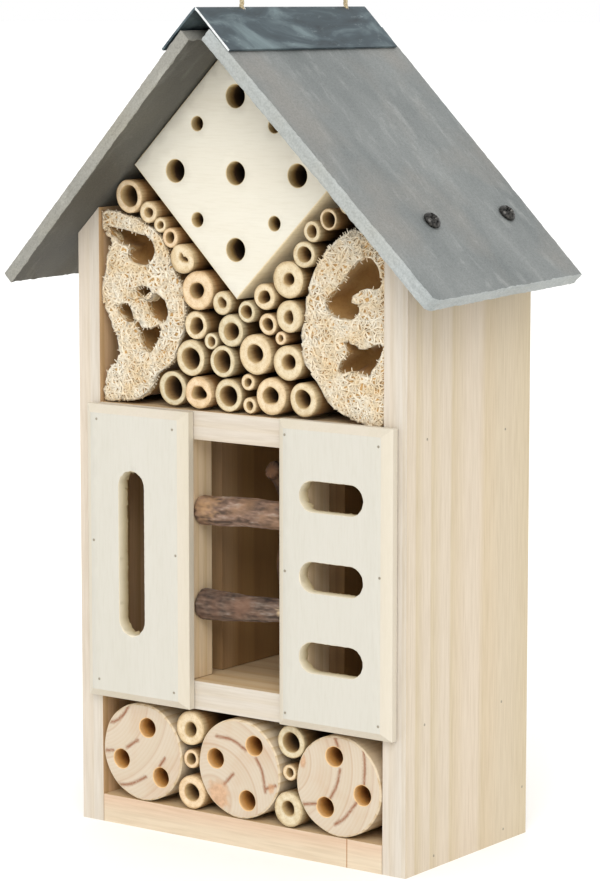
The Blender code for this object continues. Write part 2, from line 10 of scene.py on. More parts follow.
import bmesh
import bpy
from mathutils import Vector, noise
from mathutils.geometry import delaunay_2d_cdt
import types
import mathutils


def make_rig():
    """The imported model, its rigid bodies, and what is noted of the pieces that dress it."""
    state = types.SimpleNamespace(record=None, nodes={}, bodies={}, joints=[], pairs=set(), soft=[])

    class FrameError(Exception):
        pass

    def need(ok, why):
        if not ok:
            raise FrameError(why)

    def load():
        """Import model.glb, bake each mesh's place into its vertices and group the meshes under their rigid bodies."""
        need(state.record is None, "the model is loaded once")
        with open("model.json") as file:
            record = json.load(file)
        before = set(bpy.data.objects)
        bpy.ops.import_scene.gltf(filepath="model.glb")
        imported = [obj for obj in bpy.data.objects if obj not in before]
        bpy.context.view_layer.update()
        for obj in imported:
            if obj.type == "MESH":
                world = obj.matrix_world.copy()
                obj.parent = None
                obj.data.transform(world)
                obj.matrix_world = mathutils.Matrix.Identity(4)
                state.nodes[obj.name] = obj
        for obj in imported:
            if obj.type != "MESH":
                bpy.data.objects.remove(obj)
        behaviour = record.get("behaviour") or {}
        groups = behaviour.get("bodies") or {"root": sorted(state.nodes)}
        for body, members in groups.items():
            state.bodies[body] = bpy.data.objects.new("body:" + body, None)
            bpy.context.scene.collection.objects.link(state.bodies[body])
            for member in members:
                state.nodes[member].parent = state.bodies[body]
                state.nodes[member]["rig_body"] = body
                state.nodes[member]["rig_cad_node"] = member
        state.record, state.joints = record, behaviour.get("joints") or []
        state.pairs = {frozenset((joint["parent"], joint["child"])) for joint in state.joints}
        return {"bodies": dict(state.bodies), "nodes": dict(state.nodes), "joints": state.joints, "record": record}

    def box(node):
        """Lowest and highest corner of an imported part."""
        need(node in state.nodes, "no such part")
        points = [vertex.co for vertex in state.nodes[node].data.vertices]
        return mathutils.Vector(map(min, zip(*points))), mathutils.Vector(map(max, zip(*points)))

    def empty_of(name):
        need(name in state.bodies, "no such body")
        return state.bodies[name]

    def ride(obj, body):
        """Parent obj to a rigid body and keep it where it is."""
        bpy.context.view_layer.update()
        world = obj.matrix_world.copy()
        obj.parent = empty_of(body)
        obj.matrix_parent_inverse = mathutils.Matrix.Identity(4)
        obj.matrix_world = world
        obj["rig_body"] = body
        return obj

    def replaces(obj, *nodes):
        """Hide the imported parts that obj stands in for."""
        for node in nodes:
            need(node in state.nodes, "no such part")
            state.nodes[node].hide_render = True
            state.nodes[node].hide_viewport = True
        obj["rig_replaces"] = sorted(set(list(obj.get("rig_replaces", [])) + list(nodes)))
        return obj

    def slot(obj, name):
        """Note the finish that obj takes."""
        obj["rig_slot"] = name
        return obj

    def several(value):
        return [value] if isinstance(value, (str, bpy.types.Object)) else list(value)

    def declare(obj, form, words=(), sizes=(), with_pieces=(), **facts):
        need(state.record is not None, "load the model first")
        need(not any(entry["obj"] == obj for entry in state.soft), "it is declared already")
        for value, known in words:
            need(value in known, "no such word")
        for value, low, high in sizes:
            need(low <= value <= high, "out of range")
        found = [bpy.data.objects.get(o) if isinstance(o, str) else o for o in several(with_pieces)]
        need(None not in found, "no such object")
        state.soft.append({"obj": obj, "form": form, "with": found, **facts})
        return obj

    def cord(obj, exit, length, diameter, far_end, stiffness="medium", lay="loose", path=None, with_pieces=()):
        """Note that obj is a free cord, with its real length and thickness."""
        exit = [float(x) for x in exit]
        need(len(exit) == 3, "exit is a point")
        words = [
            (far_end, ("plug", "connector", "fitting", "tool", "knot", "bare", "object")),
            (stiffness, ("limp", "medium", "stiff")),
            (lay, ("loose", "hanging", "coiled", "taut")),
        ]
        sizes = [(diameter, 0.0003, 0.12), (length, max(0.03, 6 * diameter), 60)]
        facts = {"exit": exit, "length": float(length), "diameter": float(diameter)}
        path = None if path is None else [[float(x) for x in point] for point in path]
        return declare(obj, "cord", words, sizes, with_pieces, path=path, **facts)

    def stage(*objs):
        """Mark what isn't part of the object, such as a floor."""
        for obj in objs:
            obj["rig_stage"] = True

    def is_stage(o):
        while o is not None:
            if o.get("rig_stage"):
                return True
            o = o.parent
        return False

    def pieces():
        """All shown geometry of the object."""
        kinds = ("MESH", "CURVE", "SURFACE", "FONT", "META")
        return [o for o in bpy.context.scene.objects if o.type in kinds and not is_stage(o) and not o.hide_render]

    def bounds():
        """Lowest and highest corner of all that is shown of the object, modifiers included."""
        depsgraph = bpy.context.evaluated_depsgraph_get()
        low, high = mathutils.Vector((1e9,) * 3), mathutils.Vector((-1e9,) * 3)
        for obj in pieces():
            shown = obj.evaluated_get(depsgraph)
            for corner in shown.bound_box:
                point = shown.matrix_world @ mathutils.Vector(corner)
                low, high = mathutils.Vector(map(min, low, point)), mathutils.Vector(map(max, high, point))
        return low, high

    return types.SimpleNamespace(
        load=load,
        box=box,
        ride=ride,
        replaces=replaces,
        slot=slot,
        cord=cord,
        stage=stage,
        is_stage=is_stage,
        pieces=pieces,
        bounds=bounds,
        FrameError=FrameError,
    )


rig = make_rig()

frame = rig.load()
frame_low, frame_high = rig.bounds()

MM = 0.001
APEX_Z = 361 * MM
REED_FRONT_Y = -48 * MM


# ---------------------------------------------------------------- camera, light and floor


def put(name, data):
    made = bpy.data.objects.new(name, data)
    bpy.context.scene.collection.objects.link(made)
    return made


def set_camera():
    lens = bpy.data.cameras.new("camera")
    lens.lens = 130.94
    lens.sensor_width = 36
    lens.clip_end = 50
    camera = put("camera", lens)
    camera.location = (0.84373, -1.15736, 0.37551)
    camera.rotation_euler = (math.radians(82.14), 0, math.radians(36.14))
    bpy.context.scene.camera = camera


def soft_sun(name, toward, strength, spread):
    data = bpy.data.lights.new(name, "SUN")
    data.energy = strength
    data.angle = math.radians(spread)
    put(name, data).rotation_euler = Vector(toward).to_track_quat("-Z", "Y").to_euler()


def set_studio():
    world = bpy.data.worlds.new("studio")
    world.use_nodes = True
    glow = world.node_tree.nodes["Background"].inputs
    glow["Color"].default_value = (1, 1, 1, 1)
    glow["Strength"].default_value = 1.0
    bpy.context.scene.world = world
    soft_sun("window_light", (-0.5, 0.8, -0.75), 1.4, 35)
    bpy.context.scene.view_settings.view_transform = "Standard"
    mesh = bpy.data.meshes.new("floor")
    reach = 40
    corners = [(-reach, -reach, 0), (reach, -reach, 0), (reach, reach, 0), (-reach, reach, 0)]
    mesh.from_pydata(corners, [], [(0, 1, 2, 3)])
    floor = put("floor", mesh)
    paper, _ = finish("white_paper_sweep", {"Base Color": paint("FAFAF8"), "Roughness": 0.9})
    mesh.materials.append(paper)
    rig.stage(floor)


# ---------------------------------------------------------------- building finishes


def linear(channel):
    return channel / 12.92 if channel <= 0.04045 else ((channel + 0.055) / 1.055) ** 2.4


def paint(code):
    """An sRGB hex colour as the linear colour that a socket takes."""
    return (*(linear(int(code[i : i + 2], 16) / 255) for i in (0, 2, 4)), 1.0)


def finish(name, settings):
    made = bpy.data.materials.new(name)
    made.use_nodes = True
    shader = made.node_tree.nodes["Principled BSDF"]
    for socket, value in settings.items():
        shader.inputs[socket].default_value = value
    return made, shader


def add(made, kind, settings, output=0):
    """Adds a node and gives its output.

    Settings are its properties, the values or sources of its inputs, or the stops of its colour ramp.
    """
    node = made.node_tree.nodes.new("ShaderNode" + kind)
    for key, value in settings.items():
        if key == "stops":
            ramp = node.color_ramp
            ramp.elements[0].position, ramp.elements[-1].position = value[0][0], value[-1][0]
            for position, _ in value[1:-1]:
                ramp.elements.new(position)
            for element, (_, code) in zip(ramp.elements, value):
                element.color = paint(code)
        elif isinstance(value, bpy.types.NodeSocket):
            made.node_tree.links.new(value, node.inputs[key])
        elif isinstance(key, str) and hasattr(node, key):
            setattr(node, key, value)
        else:
            node.inputs[key].default_value = value
    return node.outputs[output]


def wire(made, shader, colour, roughness=None, bump=None):
    for socket, source in (("Base Color", colour), ("Roughness", roughness), ("Normal", bump)):
        if source is not None:
            made.node_tree.links.new(source, shader.inputs[socket])
    return made


# Settings of a colour mix: plain, or the second colour laid over the first as a glaze.
BLEND = {"data_type": "RGBA"}
MULTIPLY = {"data_type": "RGBA", "blend_type": "MULTIPLY"}

# A wave texture of scale 1 repeats every WAVE metres, and a noise of scale 1 has lumps about a metre across.
WAVE = 2 * math.pi / 20


def pine(name, along, pith, early, late, ring=5.5 * MM, stain="DCC2A4", joint=None):
    """Planed pine: pale early wood and thin amber late-wood lines, running with the grain and curved on an end."""
    wood, shader = finish(name, {"Roughness": 0.6, "IOR": 1.45})
    place = add(wood, "TexCoord", {}, "Object")
    stretch = [1.0, 1.0, 1.0]
    stretch["XYZ".index(along)] = 0.045
    heart = add(wood, "Mapping", {"Location": [-p for p in pith], "Scale": stretch, "Vector": place})
    rings = add(
        wood, "TexWave", {
            "wave_type": "RINGS", "rings_direction": along, "wave_profile": "SAW", "Scale": WAVE / ring,
            "Distortion": 1.6, "Detail": 2.0, "Detail Scale": 0.35, "Detail Roughness": 0.5,
            "Vector": heart,
        }, "Fac",
    )
    lines = add(
        wood, "ValToRGB", {"stops": [(0.0, early), (0.35, early), (0.9, late), (1.0, early)], "Fac": rings}
    )
    fibre = add(
        wood, "TexNoise", {"Scale": 1 / (1.1 * MM), "Detail": 3.0, "Roughness": 0.62, "Vector": heart}
    )
    patch = add(wood, "TexNoise", {"Scale": 1 / (38 * MM), "Detail": 2.0, "Vector": heart})
    stained = add(wood, "MapRange", {"From Min": 0.5, "From Max": 0.8, "To Max": 0.5, "Value": patch})
    warm = add(wood, "Mix", {**BLEND, 0: stained, 6: lines, 7: paint(stain)}, 2)
    pores = add(wood, "ValToRGB", {"stops": [(0.3, "E2DCD2"), (0.62, "FFFFFF")], "Fac": fibre})
    grained = add(wood, "Mix", {**MULTIPLY, 0: 0.5, 6: warm, 7: pores}, 2)
    shade = add(wood, "MapRange", {"To Min": 0.5, "To Max": 0.7, "Value": fibre})
    dent = add(wood, "Bump", {"Strength": 0.35, "Distance": 0.15 * MM, "Height": fibre})
    if joint:
        # Two lengths are finger-jointed here: the seam is a thin dark line, and the wood past it is paler.
        split = add(wood, "SeparateXYZ", {"Vector": place}, "X")
        side = add(wood, "Math", {"operation": "GREATER_THAN", 1: joint, 0: split})
        seam = add(wood, "Math", {"operation": "COMPARE", 1: joint, 2: 0.25 * MM, 0: split})
        pale = add(wood, "Mix", {**BLEND, "blend_type": "SCREEN", 0: side, 6: grained, 7: paint("3A342C")}, 2)
        grained = add(wood, "Mix", {**MULTIPLY, 0: seam, 6: pale, 7: paint("C8A07A")}, 2)
    return wire(wood, shader, grained, shade, dent)


def poplar_veneer(name, light, dark, along, speck=0.35):
    """Sanded poplar plywood: nearly white with a hint of green, short fine pores and no rings."""
    ply, shader = finish(name, {"Roughness": 0.62, "IOR": 1.45})
    place = add(ply, "TexCoord", {}, "Object")
    stretch = [1.0, 1.0, 1.0]
    stretch["XYZ".index(along)] = 0.09
    grain = add(ply, "Mapping", {"Scale": stretch, "Vector": place})
    cloud = add(ply, "TexNoise", {"Scale": 1 / (16 * MM), "Detail": 3.0, "Vector": grain})
    tone = add(ply, "ValToRGB", {"stops": [(0.3, dark), (0.7, light)], "Fac": cloud})
    fibre = add(ply, "TexNoise", {"Scale": 1 / (0.9 * MM), "Detail": 3.0, "Roughness": 0.65, "Vector": grain})
    pores = add(ply, "ValToRGB", {"stops": [(0.28, "D9D3C2"), (0.55, "FFFFFF")], "Fac": fibre})
    colour = add(ply, "Mix", {**MULTIPLY, 0: speck, 6: tone, 7: pores}, 2)
    shade = add(ply, "MapRange", {"To Min": 0.52, "To Max": 0.72, "Value": fibre})
    dent = add(ply, "Bump", {"Strength": 0.25, "Distance": 0.1 * MM, "Height": fibre})
    return wire(ply, shader, colour, shade, dent)


def drill_wall(name, front, reach, stops):
    """The wall of a drilled or sawn hole: torn fibres, pale at the mouth and darkened further in as painted shade."""
    wall, shader = finish(name, {"Roughness": 0.75, "IOR": 1.45})
    place = add(wall, "TexCoord", {}, "Object")
    torn = add(wall, "TexNoise", {"Scale": 1 / (1.6 * MM), "Detail": 4.0, "Roughness": 0.6, "Vector": place})
    ways = add(wall, "SeparateXYZ", {"Vector": place}, "Y")
    inward = add(wall, "MapRange", {"From Min": front, "From Max": front + reach, "Value": ways})
    ragged = add(wall, "MapRange", {"To Min": -0.08, "To Max": 0.08, "Value": torn})
    depth = add(wall, "Math", {"operation": "ADD", 0: inward, 1: ragged})
    # Painted shade: the stops darken the wall with depth into the hole.
    tone = add(wall, "ValToRGB", {"stops": stops, "Fac": depth})
    dent = add(wall, "Bump", {"Strength": 0.4, "Distance": 0.25 * MM, "Height": torn})
    return wire(wall, shader, tone, None, dent)


def reed_skin():
    """The skin of dried reed: a thin waxy straw-coloured shell with fine lines along it, some stalks greyer."""
    waxy = {"Roughness": 0.42, "IOR": 1.48, "Coat Weight": 0.15, "Coat Roughness": 0.3}
    skin, shader = finish("dried_reed_skin", waxy)
    place = add(skin, "TexCoord", {}, "Object")
    lines = add(skin, "Mapping", {"Scale": (1, 0.04, 1), "Vector": place})
    stripe = add(skin, "TexNoise", {"Scale": 1 / (0.8 * MM), "Detail": 3.0, "Vector": lines})
    stalk = add(skin, "Attribute", {"attribute_name": "stalk"}, "Fac")
    tone = add(skin, "ValToRGB", {"stops": [(0.0, "AFA282"), (0.5, "BCA781"), (1.0, "C6AA82")], "Fac": stalk})
    streak = add(skin, "ValToRGB", {"stops": [(0.3, "B8A88C"), (0.6, "FFFFFF")], "Fac": stripe})
    lined = add(skin, "Mix", {**MULTIPLY, 0: 0.6, 6: tone, 7: streak}, 2)
    # Painted shade: the skins darken to brown where they lie deep between each other.
    ways = add(skin, "SeparateXYZ", {"Vector": place}, "Y")
    inward = add(skin, "MapRange", {"From Min": REED_FRONT_Y, "From Max": REED_FRONT_Y + 12 * MM,
                                    "Value": ways})
    painted_depth_shade = add(
        skin, "ValToRGB", {"stops": [(0.0, "FFFFFF"), (0.3, "B8A084"), (1.0, "4A3824")], "Fac": inward}
    )
    colour = add(skin, "Mix", {**MULTIPLY, 0: 1.0, 6: lined, 7: painted_depth_shade}, 2)
    dent = add(skin, "Bump", {"Strength": 0.4, "Distance": 0.15 * MM, "Height": stripe})
    return wire(skin, shader, colour, None, dent)


def reed_cut():
    """A sawn reed end: cream pith dotted with darker bundles, denser and browner under the skin, and matt."""
    cut, shader = finish("sawn_reed_end", {"Roughness": 0.72, "IOR": 1.45})
    place = add(cut, "TexCoord", {}, "Object")
    bundle = add(cut, "TexVoronoi", {"Scale": 1 / (0.75 * MM), "Vector": place})
    cloud = add(cut, "TexNoise", {"Scale": 1 / (3 * MM), "Detail": 3.0, "Vector": place})
    stalk = add(cut, "Attribute", {"attribute_name": "stalk"}, "Fac")
    across = add(cut, "Attribute", {"attribute_name": "across"}, "Fac")
    tone = add(cut, "ValToRGB", {"stops": [(0.0, "D2C8AC"), (0.5, "DFD0B2"), (1.0, "E3CBAA")], "Fac": stalk})
    rim = add(
        cut, "ValToRGB", {
            "stops": [(0.0, "D9C6A2"), (0.2, "FFFFFF"), (0.7, "FFFBF4"), (1.0, "C4B190")], "Fac": across,
        },
    )
    spots = add(cut, "ValToRGB", {"stops": [(0.08, "C7AD83"), (0.4, "FFFFFF")], "Fac": bundle})
    shaded = add(cut, "Mix", {**MULTIPLY, 0: 1.0, 6: tone, 7: rim}, 2)
    dotted = add(cut, "Mix", {**MULTIPLY, 0: 0.45, 6: shaded, 7: spots}, 2)
    grime = add(cut, "ValToRGB", {"stops": [(0.32, "D6C4A2"), (0.62, "FFFFFF")], "Fac": cloud})
    colour = add(cut, "Mix", {**MULTIPLY, 0: 0.5, 6: dotted, 7: grime}, 2)
    dent = add(cut, "Bump", {"Strength": 0.4, "Distance": 0.12 * MM, "Height": bundle})
    return wire(cut, shader, colour, None, dent)


def reed_bore():
    """Inside a reed: dry papery pith, tan at the mouth and darkened to near black further in as painted shade."""
    bore, shader = finish("reed_pith", {"Roughness": 0.8, "IOR": 1.4})
    place = add(bore, "TexCoord", {}, "Object")
    lines = add(bore, "Mapping", {"Scale": (1, 0.12, 1), "Vector": place})
    stripe = add(bore, "TexNoise", {"Scale": 1 / (0.9 * MM), "Detail": 3.0, "Vector": lines})
    ways = add(bore, "SeparateXYZ", {"Vector": place}, "Y")
    inward = add(bore, "MapRange", {"From Min": REED_FRONT_Y, "From Max": REED_FRONT_Y + 14 * MM,
                                    "Value": ways})
    ragged = add(bore, "MapRange", {"To Min": -0.1, "To Max": 0.1, "Value": stripe})
    depth = add(bore, "Math", {"operation": "ADD", 0: inward, 1: ragged})
    # Painted shade: the pith darkens with depth into the bore.
    tone = add(
        bore, "ValToRGB", {
            "stops": [(0.0, "C0A678"), (0.3, "8C6C42"), (0.6, "4C3720"), (1.0, "20160C")], "Fac": depth,
        },
    )
    dent = add(bore, "Bump", {"Strength": 0.5, "Distance": 0.2 * MM, "Height": stripe})
    return wire(bore, shader, tone, None, dent)


def turned_log_end(name, pith, ring, phase):
    """Sawn end of a softwood round: pale wood crossed by a few thin pinkish-brown rings about its pith."""
    wood, shader = finish(name, {"Roughness": 0.66, "IOR": 1.45})
    place = add(wood, "TexCoord", {}, "Object")
    heart = add(wood, "Mapping", {"Location": (-pith[0], 0, -pith[1]), "Vector": place})
    bold = add(
        wood, "TexWave", {
            "wave_type": "RINGS", "rings_direction": "Y", "wave_profile": "SAW", "Scale": WAVE / ring,
            "Phase Offset": phase, "Distortion": 0.5, "Detail": 1.0, "Detail Scale": 0.4, "Vector": heart,
        }, "Fac",
    )
    fine = add(
        wood, "TexWave", {
            "wave_type": "RINGS", "rings_direction": "Y", "wave_profile": "SAW", "Scale": WAVE / (1.7 * MM),
            "Distortion": 1.5, "Detail": 2.0, "Detail Scale": 0.5, "Vector": heart,
        }, "Fac",
    )
    line = add(
        wood, "ValToRGB", {
            "stops": [(0.0, "CBBDAA"), (0.88, "C8B9A4"), (0.95, "C1AB95"), (1.0, "CABCA8")], "Fac": bold,
        },
    )
    faint = add(wood, "ValToRGB", {"stops": [(0.0, "FFFFFF"), (0.8, "FBF7F0"), (1.0, "FFFFFF")], "Fac": fine})
    patch = add(wood, "TexNoise", {"Scale": 1 / (14 * MM), "Detail": 2.0, "Vector": place})
    blush = add(wood, "ValToRGB", {"stops": [(0.5, "FFFFFF"), (0.8, "F8E8DC")], "Fac": patch})
    ringed = add(wood, "Mix", {**MULTIPLY, 0: 0.9, 6: line, 7: faint}, 2)
    tinted = add(wood, "Mix", {**MULTIPLY, 0: 0.8, 6: ringed, 7: blush}, 2)
    # Painted shade: the face darkens along each crack.
    scar = add(wood, "Attribute", {"attribute_name": "scar"}, "Fac")
    marked = add(wood, "Mix", {**MULTIPLY, 0: scar, 6: tinted, 7: paint("B98A70")}, 2)
    knot = add(wood, "Attribute", {"attribute_name": "knot"}, "Fac")
    grain = add(wood, "TexNoise", {"Scale": 1 / (2 * MM), "Detail": 3.0, "Vector": place})
    knotty = add(wood, "ValToRGB", {"stops": [(0.35, "B58862"), (0.65, "CFA27C")], "Fac": grain})
    colour = add(wood, "Mix", {**BLEND, 0: knot, 6: marked, 7: knotty}, 2)
    dent = add(wood, "Bump", {"Strength": 0.3, "Distance": 0.15 * MM, "Height": grain})
    return wire(wood, shader, colour, None, dent)


def split_slate(name, side, dark, light, streak, warm):
    """Riven slate: matt grey stone, cloudy, with pale streaks down the slope and warmer mineral patches."""
    stone, shader = finish(name, {"Roughness": 0.68, "IOR": 1.54})
    place = add(stone, "TexCoord", {}, "Object")
    run = add(
        stone, "Mapping", {
            "vector_type": "TEXTURE", "Rotation": (0, side * math.radians(45), 0), "Scale": (2.6, 1, 1),
            "Vector": place,
        },
    )
    cloud = add(stone, "TexNoise", {"Scale": 1 / (26 * MM), "Detail": 6.0, "Roughness": 0.62, "Vector": run})
    base = add(stone, "ValToRGB", {"stops": [(0.3, dark), (0.7, light)], "Fac": cloud})
    vein = add(
        stone, "TexNoise", {
            "Scale": 1 / (6 * MM), "Detail": 5.0, "Roughness": 0.6, "Distortion": 0.4, "Vector": run,
        },
    )
    veined = add(stone, "MapRange", {"From Min": 0.56, "From Max": 0.76, "To Max": 0.55, "Value": vein})
    streaked = add(stone, "Mix", {**BLEND, 0: veined, 6: base, 7: paint(streak)}, 2)
    mineral = add(stone, "TexNoise", {"Scale": 1 / (45 * MM), "Detail": 3.0, "Vector": place})
    rusty = add(stone, "MapRange", {"From Min": 0.48, "From Max": 0.68, "To Max": 0.6, "Value": mineral})
    tinted = add(stone, "Mix", {**BLEND, 0: rusty, 6: streaked, 7: paint(warm)}, 2)
    grit = add(stone, "TexNoise", {"Scale": 1 / (0.9 * MM), "Detail": 4.0, "Roughness": 0.7, "Vector": place})
    speck = add(stone, "ValToRGB", {"stops": [(0.3, "BFC1C0"), (0.6, "FFFFFF")], "Fac": grit})
    colour = add(stone, "Mix", {**MULTIPLY, 0: 0.6, 6: tinted, 7: speck}, 2)
    shade = add(stone, "MapRange", {"To Min": 0.55, "To Max": 0.8, "Value": cloud})
    dent = add(stone, "Bump", {"Strength": 0.5, "Distance": 0.3 * MM, "Height": grit})
    return wire(stone, shader, colour, shade, dent)


def weathered_zinc():
    """Rolled zinc sheet left to dull: blue-grey patina in soft clouds, with paler rub marks and a low gleam."""
    sheet, shader = finish("dulled_zinc_sheet", {"Metallic": 0.55})
    place = add(sheet, "TexCoord", {}, "Object")
    run = add(sheet, "Mapping", {"Rotation": (0, 0, 0.5), "Scale": (1, 0.45, 1), "Vector": place})
    cloud = add(
        sheet, "TexNoise", {
            "Scale": 1 / (15 * MM), "Detail": 5.0, "Roughness": 0.6, "Distortion": 0.8, "Vector": run,
        },
    )
    tone = add(
        sheet, "ValToRGB", {"stops": [(0.32, "2F393E"), (0.5, "47545A"), (0.7, "7A8A8D")], "Fac": cloud}
    )
    rub = add(sheet, "TexNoise", {"Scale": 1 / (3 * MM), "Detail": 4.0, "Roughness": 0.7, "Vector": run})
    fleck = add(sheet, "MapRange", {"From Min": 0.6, "From Max": 0.8, "To Max": 0.5, "Value": rub})
    colour = add(sheet, "Mix", {**BLEND, 0: fleck, 6: tone, 7: paint("A9B7B8")}, 2)
    shade = add(sheet, "MapRange", {"To Min": 0.38, "To Max": 0.62, "Value": cloud})
    dent = add(sheet, "Bump", {"Strength": 0.3, "Distance": 0.2 * MM, "Height": cloud})
    return wire(sheet, shader, colour, shade, dent)


def sheared_zinc():
    """The sheared edge of the zinc: clean bright metal."""
    edge, shader = finish("sheared_zinc_edge", {"Metallic": 0.5, "Roughness": 0.35})
    place = add(edge, "TexCoord", {}, "Object")
    drag = add(edge, "TexNoise", {"Scale": 1 / (1.5 * MM), "Detail": 2.0, "Vector": place})
    tone = add(edge, "ValToRGB", {"stops": [(0.3, "D5DADA"), (0.7, "F4F6F6")], "Fac": drag})
    return wire(edge, shader, tone)


def black_steel(name, tone, roughness, scuffed="5A5752"):
    """Blackened steel: a thin dark oxide with a soft gleam, scuffed a little lighter."""
    steel, shader = finish(name, {"Metallic": 0.6})
    place = add(steel, "TexCoord", {}, "Object")
    scuff = add(steel, "TexNoise", {"Scale": 1 / (1.2 * MM), "Detail": 3.0, "Vector": place})
    colour = add(steel, "ValToRGB", {"stops": [(0.4, tone), (0.8, scuffed)], "Fac": scuff})
    shade = add(steel, "MapRange", {"To Min": roughness - 0.08, "To Max": roughness + 0.1, "Value": scuff})
    return wire(steel, shader, colour, shade)


def loofah_fibre(name, deep, shallow, pale):
    """Dried loofah: a matt straw-cream fibre net, turned tan, then brown, further in as painted shade."""
    fibre, shader = finish(name, {"Roughness": 0.85, "IOR": 1.45, "Sheen Weight": 0.12,
                                  "Sheen Roughness": 0.5})
    place = add(fibre, "TexCoord", {}, "Object")
    depth = add(fibre, "Attribute", {"attribute_name": "depth"}, "Fac")
    # Painted shade: the depth mark darkens the fibre further back.
    tone = add(fibre, "ValToRGB", {"stops": [(0.0, pale), (0.35, shallow), (1.0, deep)], "Fac": depth})
    strand = add(
        fibre, "TexNoise", {"Scale": 1 / (1.3 * MM), "Detail": 4.0, "Roughness": 0.65, "Vector": place}
    )
    dirt = add(fibre, "ValToRGB", {"stops": [(0.3, "DCC8A4"), (0.55, "FFFFFF")], "Fac": strand})
    blotch = add(fibre, "TexNoise", {"Scale": 1 / (9 * MM), "Detail": 2.0, "Vector": place})
    sun = add(fibre, "ValToRGB", {"stops": [(0.35, "F2E0C0"), (0.65, "FFFFFF")], "Fac": blotch})
    # Here the painted depth shade is speckled with dirt along the strands.
    painted_depth_shade = add(fibre, "Mix", {**MULTIPLY, 0: 0.45, 6: tone, 7: dirt}, 2)
    colour = add(fibre, "Mix", {**MULTIPLY, 0: 0.7, 6: painted_depth_shade, 7: sun}, 2)
    dent = add(fibre, "Bump", {"Strength": 0.7, "Distance": 0.35 * MM, "Height": strand})
    return wire(fibre, shader, colour, None, dent)


def rough_bark(name, furrow, ridge, lichen, rust, peeled):
    """Dry hazel-like bark: dark furrows, brown ridges, grey weathered flakes and rusty rubbed patches."""
    bark, shader = finish(name, {"Roughness": 0.85, "IOR": 1.45})
    place = add(bark, "TexCoord", {}, "Object")
    relief = add(bark, "Attribute", {"attribute_name": "relief"}, "Fac")
    tone = add(bark, "ValToRGB", {"stops": [(0.25, furrow), (0.6, ridge), (0.95, lichen)], "Fac": relief})
    along = add(bark, "Mapping", {"Scale": (0.3, 1, 1), "Vector": place})
    flake = add(bark, "TexNoise", {"Scale": 1 / (2.4 * MM), "Detail": 5.0, "Roughness": 0.7, "Vector": along})
    speckled = add(bark, "ValToRGB", {"stops": [(0.3, "8F8378"), (0.6, "FFFFFF")], "Fac": flake})
    mixed = add(bark, "Mix", {**MULTIPLY, 0: 0.8, 6: tone, 7: speckled}, 2)
    patch = add(bark, "TexNoise", {"Scale": 1 / (13 * MM), "Detail": 3.0, "Vector": place})
    rubbed = add(bark, "MapRange", {"From Min": 0.5, "From Max": 0.68, "To Max": 0.5, "Value": patch})
    rusty = add(bark, "Mix", {**BLEND, 0: rubbed, 6: mixed, 7: paint(rust)}, 2)
    bare = add(bark, "Attribute", {"attribute_name": "bare"}, "Fac")
    colour = add(bark, "Mix", {**BLEND, 0: bare, 6: rusty, 7: paint(peeled)}, 2)
    dent = add(bark, "Bump", {"Strength": 0.6, "Distance": 0.3 * MM, "Height": flake})
    return wire(bark, shader, colour, None, dent)


def jute():
    """Twisted jute: straw-coloured, hairy and dull, speckled darker and lighter along its hairs."""
    twine, shader = finish("twisted_jute", {"Roughness": 0.9, "Sheen Weight": 0.2})
    place = add(twine, "TexCoord", {}, "Object")
    hair = add(twine, "TexNoise", {"Scale": 1 / (0.5 * MM), "Detail": 3.0, "Vector": place})
    tone = add(twine, "ValToRGB", {"stops": [(0.3, "8F7B55"), (0.65, "CDBE9C")], "Fac": hair})
    dent = add(twine, "Bump", {"Strength": 0.5, "Distance": 0.1 * MM, "Height": hair})
    return wire(twine, shader, tone, None, dent)


# ---------------------------------------------------------------- building shapes


def shape(name, points, faces, materials, skins=None, crease=38):
    """A mesh object at the origin, with outward faces, smooth but for edges sharper than crease degrees."""
    mesh = bpy.data.meshes.new(name)
    mesh.from_pydata([tuple(p) for p in points], [], faces)
    for one in materials:
        mesh.materials.append(one)
    if skins:
        mesh.polygons.foreach_set("material_index", skins)
    work = bmesh.new()
    work.from_mesh(mesh)
    bmesh.ops.recalc_face_normals(work, faces=work.faces)
    work.to_mesh(mesh)
    work.free()
    mesh.shade_smooth()
    mesh.set_sharp_from_angle(angle=math.radians(crease))
    return put(name, mesh)


def settle(piece):
    """Makes what the modifiers give the piece's own mesh."""
    graph = bpy.context.evaluated_depsgraph_get()
    mesh = bpy.data.meshes.new_from_object(piece.evaluated_get(graph))
    piece.modifiers.clear()
    piece.data = mesh


def band(here, after, count):
    """The faces between two rings of count points, which start at here and after."""
    return [(here + i, here + (i + 1) % count, after + (i + 1) % count, after + i) for i in range(count)]


def bands(first, count, rings):
    """The faces of a sleeve of rings, one after the other."""
    faces = []
    for ring in range(rings - 1):
        faces += band(first + ring * count, first + (ring + 1) * count, count)
    return faces


def front_centre(low, high):
    return Vector(((low.x + high.x) / 2, (low.z + high.z) / 2))


def dress(piece, slot, *stands_for):
    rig.ride(piece, "root")
    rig.slot(piece, slot)
    if stands_for:
        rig.replaces(piece, *stands_for)
    return piece


def mark(piece, name, values):
    """Writes one number for each point, which the finish reads."""
    piece.data.attributes.new(name, "FLOAT", "POINT").data.foreach_set("value", values)


def circle(centre, radius, sides, lumps=(), turn=0.0):
    """A loop of points. Each lump is (how many, how high, where), as a share of the radius."""
    loop = []
    for i in range(sides):
        angle = turn + 2 * math.pi * i / sides
        reach = radius * (1 + sum(high * math.cos(many * angle + where) for many, high, where in lumps))
        loop.append(Vector((centre[0] + reach * math.cos(angle), centre[1] + reach * math.sin(angle))))
    return loop


def finer(loop, step):
    """The closed loop with points added so that none are much further apart than step."""
    made = []
    for here, after in zip(loop, [*loop[1:], loop[0]]):
        here, after = Vector(here), Vector(after)
        parts = max(1, round((after - here).length / step))
        made += [here.lerp(after, i / parts) for i in range(parts)]
    return made


